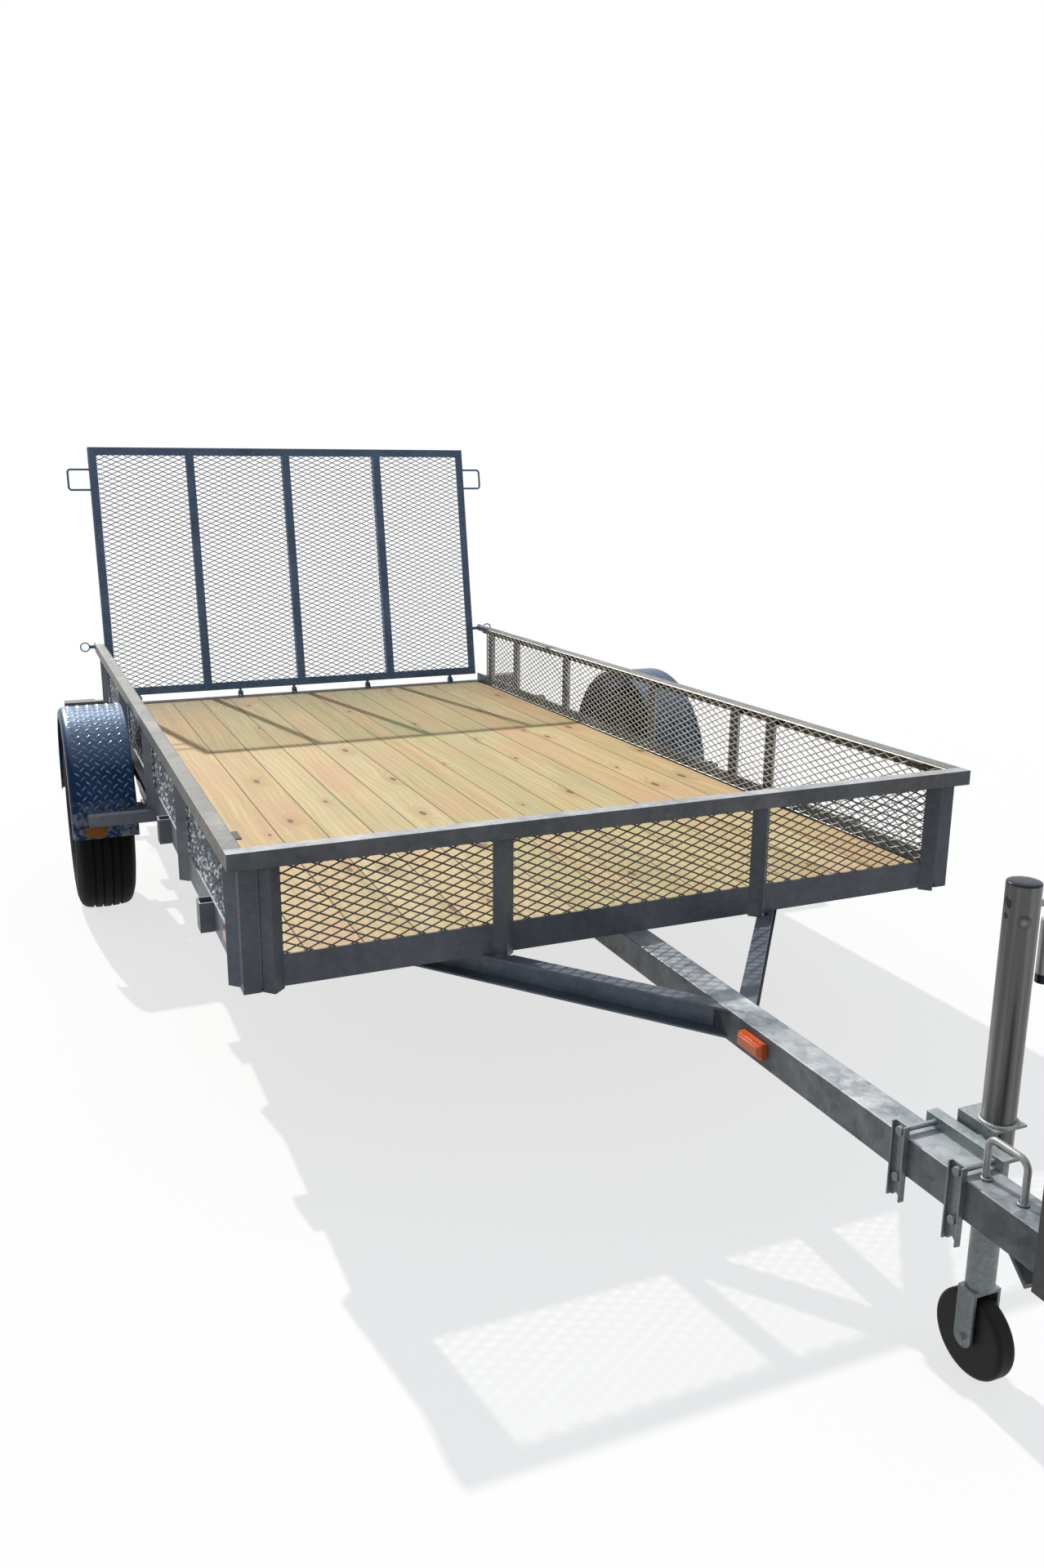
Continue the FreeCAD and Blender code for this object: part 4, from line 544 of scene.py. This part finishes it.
# painted light: the three sheets are one galvanised mesh in three painted tones, the front one dark for the
# shade on its face and the right one pale and warm for the sun and the deck's glow on its inner face
front_mesh_zinc = zinc_coat("front_mesh_zinc", 140.0, (0.09, 0.10, 0.12), (0.17, 0.18, 0.20), 0.1, 0.1)
right_mesh_zinc = zinc_coat("side_mesh_zinc", 140.0, (0.30, 0.295, 0.27), (0.60, 0.585, 0.53), 0.2, 0.2)
# the left wall turns its shaded outer face to view: its strands are painted dark for that shade, with painted
# glints where single strands catch the light
left_mesh_zinc, tree, shader = new_material("left_mesh_zinc")
glints = texture(tree, "Voronoi", Scale=85.0, Randomness=1.0)
glint = split(tree, glints.outputs["Color"], "ShaderNodeSeparateColor")
glint_colour = ramp(tree, glint[0], (0.55, (0.10, 0.125, 0.155)), (0.72, (0.24, 0.265, 0.29)),
    (0.84, (0.85, 0.85, 0.82)))
colour_of(tree, shader, glint_colour, scaled(tree, glint[1], 0.2, 0.3))
shader.inputs["Metallic"].default_value = 0.2

low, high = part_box("mesh_front")
stand = Matrix.Translation((0, (low[1] + high[1]) / 2, 0)) @ UPRIGHT
wall = expanded_sheet("front_wall_mesh", (low[0], low[2]), (high[0], high[2]), FRONT_STRAND, FRONT_DEPTH,
    stand)
finished(wall, front_mesh_zinc, "chassis")
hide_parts("mesh_front")
for name, side, coat in (("left", -1, left_mesh_zinc), ("right", 1, right_mesh_zinc)):
    low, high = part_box(f"mesh_{name}")
    face = Matrix.Translation((side * (abs(low[0] + high[0]) / 2 - SIDE_INSET), 0, 0))
    stand = face @ Matrix.Rotation(math.radians(90), 4, "Z") @ UPRIGHT
    wall = expanded_sheet(f"{name}_wall_mesh", (low[1], low[2]), (high[1], high[2]), SIDE_STRAND,
        SIDE_DEPTH, stand)
    finished(wall, coat, "chassis")
    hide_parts(f"mesh_{name}")

black_paint = mottled("black_paint", 60.0, ((0.4, (0.010, 0.010, 0.011)), (0.8, (0.045, 0.045, 0.047))),
    (0.3, 0.25), detail=4.0)
dress(["wall_clips"], black_paint)

# ---------------------------------------------------------------- tongue
# A box-section beam under the bed with a diagonal channel each side, galvanised like the frame with its top
# painted brighter for the light on it, a round-bar lifting handle on its end and a folded plate beneath.
tongue_zinc = zinc_coat("tongue_zinc", 42.0, (0.050, 0.058, 0.068), (0.190, 0.198, 0.204), 0.35, 0.4,
    0.005, 3.6)
dress(["tongue", "tongue_gusset"], tongue_zinc)
# painted shade: brace_zinc is painted dark blue for the sky-lit shade on the braces' faces
brace_zinc = zinc_coat("brace_zinc", 60.0, (0.10, 0.12, 0.155), (0.20, 0.225, 0.265), 0.15, 0.15)
dress(["brace_left", "brace_right"], brace_zinc)
bright_zinc = zinc_coat("bright_zinc", 190.0, (0.30, 0.305, 0.295), (0.50, 0.50, 0.475), 0.1, 0.45)
dress(["lift_handle", "jack_crank"], bright_zinc)
# painted shade: plated_zinc is painted darker for the shade on the jack plates' upright faces, with its top
# faces painted brighter for the light on them
plated_zinc = zinc_coat("plated_zinc", 190.0, (0.115, 0.135, 0.145), (0.27, 0.29, 0.295), 0.1, 0.5,
    0.002, 2.2)
dress(["jack_mount", "jack_straps", "jack_collar", "jack_leg", "jack_fork"], plated_zinc)
dress(["coupler_channel", "coupler", "coupler_latch"], black_paint)

# ---------------------------------------------------------------- weld beads
# Fillet beads laid by hand where the handle's feet, the jack's tube and the corner angles meet the frame,
# dipped with the rest.
SWELL = 0.18
HANDLE_RING, HANDLE_BEAD, HANDLE_RIPPLES, FOOT_INSET = 0.0075, 0.0032, 11, 0.008
TUBE_BEAD, TUBE_RIPPLES = 0.0042, 38
CORNER_LEG, CORNER_STEP, CORNER_BEAD, CORNER_SWELL, CORNER_FOOT = 0.040, 0.004, 0.0031, 0.0009, 0.012


def ring_bead(name, radius, bead, places, ripples):
    """A rippled ring of weld of this radius at each place."""
    bpy.ops.object.select_all(action="DESELECT")
    bpy.ops.mesh.primitive_torus_add(major_radius=radius, minor_radius=bead, major_segments=ripples * 2,
        minor_segments=8)
    weld = bpy.context.object
    weld.name = name
    bpy.ops.object.mode_set(mode="EDIT")
    edit = bmesh.from_edit_mesh(weld.data)
    for vertex in edit.verts:
        turn = math.atan2(vertex.co.y, vertex.co.x)
        ring = Vector((math.cos(turn), math.sin(turn), 0)) * radius
        vertex.co = ring + (vertex.co - ring) * (1 + SWELL * math.cos(turn * ripples))
    bmesh.update_edit_mesh(weld.data)
    bpy.ops.object.mode_set(mode="OBJECT")
    return set_at(weld, *places)


low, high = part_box("lift_handle")
handle_x = (low[0] + high[0]) / 2
foot_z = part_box("tongue")[1][2] + 0.001
feet = [Matrix.Translation((handle_x, y, foot_z)) for y in (low[1] + FOOT_INSET, high[1] - FOOT_INSET)]
handle_weld = ring_bead("handle_welds", HANDLE_RING, HANDLE_BEAD, feet, HANDLE_RIPPLES)
finished(handle_weld, tongue_zinc, "chassis", 60)

low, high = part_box("jack_tube")
tube_x, tube_y, tube_radius = (low[0] + high[0]) / 2, (low[1] + high[1]) / 2, (high[0] - low[0]) / 2
base = Matrix.Translation((tube_x, tube_y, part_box("jack_collar")[1][2] + 0.0015))
tube_weld = ring_bead("jack_tube_weld", tube_radius + 0.0012, TUBE_BEAD, [base], TUBE_RIPPLES)
finished(tube_weld, bright_zinc, "jack", 60)

low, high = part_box("corner_angles")
steps = int((high[2] - low[2] - 0.03) / CORNER_STEP)
beads = [(step * CORNER_STEP, CORNER_BEAD + CORNER_SWELL * math.cos(2.2 * step)) for step in range(steps)]
corner_weld = turned("corner_welds", [(0.0, 0.0004)] + beads + [(steps * CORNER_STEP, 0.0004)], 8)
leg_edge = high[0] - CORNER_LEG - 0.0015
set_at(corner_weld, *(Matrix.Translation((side * leg_edge, frame_front - 0.0025, low[2] + CORNER_FOOT))
    for side in (1, -1)))
# the beads take the braces' zinc, painted dark blue for shade
finished(corner_weld, brace_zinc, "chassis", 60)

# ---------------------------------------------------------------- jack
# A plated steel tube that turns on its bracket, with a domed plastic cap, a side crank and a screwed leg. The
# tube's head is pierced for the gear pin and for grease, and has a pressed dimple.
DIMPLE_TURN, DIMPLE_DROP, DIMPLE_REACH = math.radians(236), 0.064, 0.013
low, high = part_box("jack_cap")
cap_foot, cap_top, cap_rise = low[2], high[2], high[2] - low[2]


def outwards(turn):
    """The way out from the tube's axis at this turn."""
    return Vector((math.cos(turn), math.sin(turn), 0))


tube_plate, tree, shader = new_material("jack_tube_plate")
streaks = texture(tree, "Noise", stretched(tree, at_object(tree), (70.0, 70.0, 1.5)), Scale=1.0, Detail=4.0)
plate = ramp(tree, streaks.outputs[0], (0.34, (0.085, 0.084, 0.080)), (0.5, (0.108, 0.108, 0.104)),
    (0.66, (0.175, 0.177, 0.173)))
dimple = Vector((tube_x, tube_y, cap_top - DIMPLE_DROP)) + outwards(DIMPLE_TURN) * tube_radius
from_dimple = add_node(tree, "ShaderNodeVectorMath", operation="DISTANCE")
from_dimple.inputs[1].default_value = dimple
tree.links.new(at_object(tree), from_dimple.inputs[0])
in_dimple = maths(tree, "DIVIDE", from_dimple.outputs["Value"], DIMPLE_REACH)
pressed = bumped(tree, shader, ramp(tree, in_dimple, (0.0, 1.0), (0.45, 0.8), (1.0, 0.0)), 1.0, 0.006)
pressed.invert = True
# painted shade in a ring round the dimple and a painted highlight in its middle, for the light its hollow
# catches
plate = mix(tree, ramp(tree, in_dimple, (0.35, 0.0), (0.7, 0.38), (1.0, 0.0)), plate, (0.035, 0.034, 0.032))
plate = mix(tree, ramp(tree, in_dimple, (0.15, 0.45), (0.6, 0.0)), plate, (0.34, 0.34, 0.33))
colour_of(tree, shader, plate, scaled(tree, streaks.outputs[0], 0.25, 0.22))
shader.inputs["Metallic"].default_value = 0.6
dress(["jack_tube"], tube_plate)

cap_plastic = mottled("cap_plastic", 220.0, ((0.3, (0.006, 0.010, 0.028)), (0.7, (0.018, 0.024, 0.05))),
    (0.15, 0.22), specular=0.25)
dress(["jack_grip_end"], cap_plastic)
# columns: share of the cap's rise, share of the tube's radius
dome = [(0.0, 0.6), (0.0, 1.0), (0.35, 1.0), (0.62, 0.965), (0.82, 0.86), (0.94, 0.6), (1.0, 0.25)]
cap_profile = [(rise * cap_rise, share * tube_radius) for rise, share in dome] + [(cap_rise, 0.0004)]
cap = turned("jack_cap_dome", cap_profile, 64)
set_at(cap, Matrix.Translation((tube_x, tube_y, cap_foot)))
finished(cap, cap_plastic, "jack", 50)
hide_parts("jack_cap")

hole_black = mottled("hole_shadow", 400.0, ((0.3, (0.004, 0.004, 0.004)), (0.7, (0.02, 0.018, 0.016))),
    (1.0, 0.2))
holes = turned("jack_tube_holes", [(-0.0015, 0.0054), (0.0004, 0.0054), (0.0006, 0.0046), (0.0005, 0.0020),
    (0.0005, 0.0002)], 20)
places = []
# columns: turn round the tube in degrees, drop below the cap's top, height over width
for turn, drop, tall in ((165, 0.033, 1.5), (179, 0.037, 1.5), (169, 0.059, 1.1)):
    out = outwards(math.radians(turn))
    spot = Vector((tube_x, tube_y, cap_top - drop)) + out * (tube_radius - 0.0002)
    facing_out = Matrix.Translation(spot) @ out.to_track_quat("Z", "Y").to_matrix().to_4x4()
    places.append(facing_out @ Matrix.Diagonal((0.85, tall, 1, 1)))
set_at(holes, *places)
finished(holes, hole_black, "jack", 40)

# ---------------------------------------------------------------- tyres
# Moulded radial tyres: four grooves round the tread, fine cuts across its ribs, a rounded shoulder and a
# plain wall with two raised rings. The jack's wheel is solid rubber.
AXLE_Y, AXLE_Z = 0.929, 0.344
TREAD_EDGE, SIPE_SHARE, SIPES = 0.3365, 0.16, 120
# columns: distance from the tyre's middle plane, radius
half_tyre = [
    (0.0, 0.344), (0.0118, 0.3439), (0.0130, 0.3355), (0.0185, 0.3355), (0.0200, 0.3434),
    (0.0410, 0.3420), (0.0425, 0.3345), (0.0482, 0.3340), (0.0497, 0.3410), (0.0640, 0.3392),
    (0.0740, 0.3362), (0.0830, 0.3305), (0.0895, 0.3225), (0.0945, 0.3110), (0.0975, 0.2990),
    (0.0990, 0.2970), (0.1010, 0.2820), (0.1024, 0.2650), (0.1015, 0.2480), (0.1003, 0.2440),
    (0.1003, 0.2400), (0.0970, 0.2280), (0.0900, 0.2110), (0.0810, 0.1985), (0.0745, 0.1935),
    (0.0720, 0.1912)]
tyre_profile = [(-out, radius) for out, radius in reversed(half_tyre[1:])] + half_tyre
tyre_rubber, tree, shader = new_material("tyre_rubber")
dusty = texture(tree, "Noise", Scale=14.0, Detail=6.0, Roughness=0.65).outputs[0]
rubber = ramp(tree, dusty, (0.35, (0.004, 0.004, 0.0045)), (0.75, (0.013, 0.0125, 0.012)))
colour_of(tree, shader, rubber, scaled(tree, dusty, 0.25, 0.62))
shader.inputs["Specular IOR Level"].default_value = 0.12
across, along, up = split(tree, at_object(tree))
from_y = maths(tree, "SUBTRACT", along, AXLE_Y)
from_z = maths(tree, "SUBTRACT", up, AXLE_Z)
squares = maths(tree, "ADD", maths(tree, "MULTIPLY", from_y, from_y), maths(tree, "MULTIPLY", from_z, from_z))
reach = maths(tree, "SQRT", squares)
round_tyre = maths(tree, "MULTIPLY", maths(tree, "ARCTAN2", from_y, from_z), SIPES / (2 * math.pi))
lean = maths(tree, "MULTIPLY", maths(tree, "PINGPONG", across, 0.03), 26.0)
sipe = maths(tree, "LESS_THAN", maths(tree, "FRACT", maths(tree, "ADD", round_tyre, lean)), SIPE_SHARE)
on_tread = maths(tree, "GREATER_THAN", reach, TREAD_EDGE)
bumped(tree, shader, maths(tree, "SUBTRACT", 1.0, maths(tree, "MULTIPLY", sipe, on_tread)), 1.0, 0.004)
for name in ("right", "left"):
    low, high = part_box(f"tyre_{name}")
    tyre = turned(f"tyre_{name}_moulded", tyre_profile, 96)
    middle = Matrix.Translation(((low[0] + high[0]) / 2, AXLE_Y, AXLE_Z))
    set_at(tyre, middle @ Matrix.Rotation(math.radians(90), 4, "Y"))
    finished(tyre, tyre_rubber, f"wheel_{name}", 35)
    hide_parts(f"tyre_{name}")
jack_rubber = mottled("jack_wheel_rubber", 50.0,
    ((0.35, (0.004, 0.004, 0.0045)), (0.8, (0.016, 0.0155, 0.015))), (0.3, 0.42),
    detail=5.0, crumble=0.65, specular=0.2)
dress(["jack_wheel"], jack_rubber)
dress(["leaf_springs"], black_paint)
wheel_silver = zinc_coat("wheel_silver", 200.0, (0.10, 0.10, 0.105), (0.20, 0.20, 0.205), 0.1, 0.35)
dress(["rim_left", "rim_right"], wheel_silver)
dress(["hub_left", "hub_right"], plated_zinc)

# ---------------------------------------------------------------- fenders
# Rolled aluminium tread plate over each wheel on two square tubes, with raised lozenges that lean left and
# right in turn, and its lower edge scuffed bare and splashed.
ARCH_Z, ARCH_RADIUS, ARCH_HALF = 0.355, 0.406, math.radians(87)
LOZENGE_PITCH, LOZENGE_LONG, LOZENGE_SLIM = 0.0350, 0.0125, 0.27
SPLASH_TOP, SPLASH_SLOPE = 0.50, 9.0
PAINTED_TOP_TINT, SCUFF_TINT = (0.095, 0.14, 0.225), (0.24, 0.245, 0.24)
tread_plate, tree, shader = new_material("tread_plate")
smear = texture(tree, "Noise", Scale=9.0, Detail=5.0).outputs[0]
plate = ramp(tree, smear, (0.3, (0.005, 0.015, 0.045)), (0.7, (0.014, 0.033, 0.078)))
# painted light: the plate's top faces are tinted lighter for the light that falls on them
plate = mix(tree, ramp(tree, facing_up(tree), (0.58, 0.0), (0.96, 1.0)), plate, PAINTED_TOP_TINT)
splash = texture(tree, "Noise", Scale=45.0, Detail=6.0, Roughness=0.7).outputs[0]
below = maths(tree, "SUBTRACT", SPLASH_TOP, split(tree, at_object(tree))[2])
low_part = clamped(tree, maths(tree, "MULTIPLY", below, SPLASH_SLOPE))
scuffed = maths(tree, "MULTIPLY", low_part, ramp(tree, splash, (0.44, 0.0), (0.56, 1.0)))
plate = mix(tree, maths(tree, "MULTIPLY", scuffed, 0.9), plate, SCUFF_TINT)
sheen = maths(tree, "ADD", scaled(tree, smear, 0.2, 0.24), maths(tree, "MULTIPLY", scuffed, 0.4))
colour_of(tree, shader, plate, sheen)
shader.inputs["Metallic"].default_value = 0.75
shader.inputs["Specular IOR Level"].default_value = 0.1
bumped(tree, shader, smear, 0.2, 0.004)
dress(["fender_left", "fender_right"], tread_plate)

lozenge_bright, tree, shader = new_material("lozenge_bright")
rubbed = texture(tree, "Noise", Scale=60.0, Detail=3.0).outputs[0]
# painted light: the lozenges are painted dark blue where they face sideways, for their shade, and bright
# where they face up, for the light on them
dim = ramp(tree, rubbed, (0.3, (0.018, 0.045, 0.10)), (0.7, (0.08, 0.125, 0.20)))
painted_top_highlight = ramp(tree, rubbed, (0.3, (0.10, 0.14, 0.20)), (0.7, (0.30, 0.35, 0.42)))
lozenge_colour = mix(tree, ramp(tree, facing_up(tree), (0.45, 0.0), (0.9, 1.0)), dim, painted_top_highlight)
colour_of(tree, shader, lozenge_colour, scaled(tree, rubbed, 0.15, 0.16))
shader.inputs["Metallic"].default_value = 0.85
rows = int(2 * ARCH_HALF * ARCH_RADIUS / (LOZENGE_PITCH / 2))
for side, name in ((1, "right"), (-1, "left")):
    low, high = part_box(f"fender_{name}")
    middle = (low[0] + high[0]) / 2 - side * 0.010
    places = []
    for row in range(rows):
        turn = (row - (rows - 1) / 2) * LOZENGE_PITCH / 2 / ARCH_RADIUS
        arch = Matrix.Translation((0, AXLE_Y, ARCH_Z)) @ Matrix.Rotation(-turn, 4, "X")
        columns, lean = (5, 42) if row % 2 else (6, -42)
        for column in range(columns):
            across = middle + (column - (columns - 1) / 2) * LOZENGE_PITCH
            on_arch = Matrix.Translation((across, 0, ARCH_RADIUS - 0.0004))
            places.append(arch @ on_arch @ Matrix.Rotation(math.radians(lean), 4, "Z"))
    lozenges = turned(f"fender_{name}_lozenges", [(0.0, LOZENGE_LONG), (0.0010, 0.0085), (0.0017, 0.0040),
        (0.0017, 0.0004)], 8)
    only(lozenges)
    bpy.ops.object.mode_set(mode="EDIT")
    bpy.ops.mesh.select_all(action="SELECT")
    bpy.ops.transform.resize(value=(1, LOZENGE_SLIM, 1))
    bpy.ops.object.mode_set(mode="OBJECT")
    set_at(lozenges, *places)
    finished(lozenges, lozenge_bright, "chassis", 60)

# ---------------------------------------------------------------- lamps and reflectors
# Sealed plastic marker lamps: an amber lens with two stepped rims each side of the tongue, flat amber lamps
# on the fenders, red reflectors on the side rails, and red lenses in black housings at the back.
LENS_CORNER = 0.009
LENS_BODY, FIRST_STEP, SECOND_STEP = 0.55, 0.32, 0.10
HOUSING_BLACK = (0.012, 0.012, 0.013)


def lens_plastic(name, deep, pale, specular=0.5):
    """Coloured lens plastic, clear over a ribbed inside."""
    material, tree, shader = new_material(name)
    shader.inputs["Specular IOR Level"].default_value = specular
    ribs = texture(tree, "Voronoi", Scale=240.0, Randomness=0.2).outputs["Distance"]
    colour_of(tree, shader, ramp(tree, ribs, (0.1, pale), (0.7, deep)), scaled(tree, ribs, 0.1, 0.14))
    return material


def step_up(rim, rise, taper):
    """Insets the selected face by the rim, raises it and draws it in."""
    bpy.ops.mesh.inset(thickness=rim, depth=0)
    bpy.ops.mesh.extrude_region_move(TRANSFORM_OT_translate={"value": (0, 0, rise)})
    bpy.ops.transform.resize(value=(*taper, 1))


amber = lens_plastic("amber_lens", (0.62, 0.075, 0.006), (0.86, 0.16, 0.012))
old_amber = lens_plastic("old_amber_lens", (0.30, 0.085, 0.002), (0.50, 0.17, 0.004), 0.15)
red = lens_plastic("red_lens", (0.30, 0.012, 0.010), (0.52, 0.03, 0.02))
dress(["fender_lamps"], old_amber)
dress(["side_reflectors"], red)
low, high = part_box("tongue_lamps")
tongue_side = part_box("tongue")[1][0]
lens_deep = high[0] - tongue_side
bpy.ops.object.select_all(action="DESELECT")
bpy.ops.mesh.primitive_cube_add(size=1)
lens = bpy.context.object
lens.name = "tongue_lamp_lenses"
bpy.ops.object.mode_set(mode="EDIT")
bpy.ops.mesh.select_all(action="SELECT")
bpy.ops.transform.resize(value=(high[1] - low[1], high[2] - low[2], lens_deep * LENS_BODY))
bpy.ops.transform.translate(value=(0, 0, lens_deep * LENS_BODY / 2))
bpy.ops.object.mode_set(mode="OBJECT")
edit = bmesh.new()
edit.from_mesh(lens.data)
corners = [edge for edge in edit.edges if abs(edge.verts[0].co.z - edge.verts[1].co.z) > 0.001]
bmesh.ops.bevel(edit, geom=corners, offset=LENS_CORNER, segments=4, affect="EDGES", profile=0.5)
edit.to_mesh(lens.data)
edit.free()
only(lens)
bpy.ops.object.mode_set(mode="EDIT")
bpy.ops.mesh.select_mode(type="FACE")
bpy.ops.mesh.select_all(action="DESELECT")
edit = bmesh.from_edit_mesh(lens.data)
for face in edit.faces:
    face.select = face.normal.z > 0.9
bmesh.update_edit_mesh(lens.data)
step_up(0.0035, lens_deep * FIRST_STEP, (0.95, 0.90))
step_up(0.0028, lens_deep * SECOND_STEP, (0.96, 0.92))
bpy.ops.object.mode_set(mode="OBJECT")
mid_y, mid_z = (low[1] + high[1]) / 2, (low[2] + high[2]) / 2
set_at(lens, *(Matrix(((0, 0, side, side * tongue_side), (1, 0, 0, mid_y), (0, 1, 0, mid_z), (0, 0, 0, 1)))
    for side in (1, -1)))
finished(lens, amber, "chassis", 40)
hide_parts("tongue_lamps")

tail_plastic, tree, shader = new_material("tail_lamp_plastic")
lens_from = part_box("tail_lamps")[1][1] - 0.004
true_normal = split(tree, add_node(tree, "ShaderNodeNewGeometry").outputs["True Normal"])
at_rear = maths(tree, "GREATER_THAN", split(tree, at_object(tree))[1], lens_from)
upright_face = maths(tree, "LESS_THAN", maths(tree, "ABSOLUTE", true_normal[2]), 0.5)
facets = texture(tree, "Voronoi", Scale=150.0, Randomness=0.3).outputs["Distance"]
lens_red = ramp(tree, facets, (0.1, (0.50, 0.02, 0.015)), (0.7, (0.28, 0.008, 0.006)))
tail_colour = mix(tree, maths(tree, "MULTIPLY", at_rear, upright_face), HOUSING_BLACK, lens_red)
colour_of(tree, shader, tail_colour, scaled(tree, facets, 0.1, 0.18))
dress(["tail_lamps"], tail_plastic)

# ---------------------------------------------------------------- ramp gate
# An angle-iron frame with three upright bars, hinged on the rear rail and leaning back, covered with one
# sheet of expanded steel; a round-bar loop each side lifts it and a spring pin each side holds it up.
GATE_LEAN = math.radians(9.6)
GATE_STRAND, GATE_DEPTH = 0.0037, 0.0030
# painted shade: gate_zinc is painted blue for the sky-lit shade on the gate's faces
gate_zinc = zinc_coat("gate_zinc", 70.0, (0.046, 0.108, 0.225), (0.105, 0.200, 0.360), 0.08, 0.15)
dress(["gate_rails", "gate_stiles", "gate_bars", "gate_tabs"], gate_zinc)
dress(["hinge_ears", "gate_loops", "gate_latches"], gate_zinc)
gate_mesh_zinc = zinc_coat("gate_mesh_zinc", 140.0, (0.13, 0.14, 0.16), (0.25, 0.27, 0.29), 0.2, 0.2)
low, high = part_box("gate_mesh")
sheet_long = (high[2] - low[2]) / math.cos(GATE_LEAN) - 0.001
foot = Matrix.Translation((0, low[1] + GATE_DEPTH / 2, low[2]))
stand = foot @ Matrix.Rotation(-GATE_LEAN, 4, "X") @ UPRIGHT
ramp_mesh = expanded_sheet("gate_mesh_sheet", (low[0], 0.0), (high[0], sheet_long), GATE_STRAND, GATE_DEPTH,
    stand)
finished(ramp_mesh, gate_mesh_zinc, "gate")
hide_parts("gate_mesh")
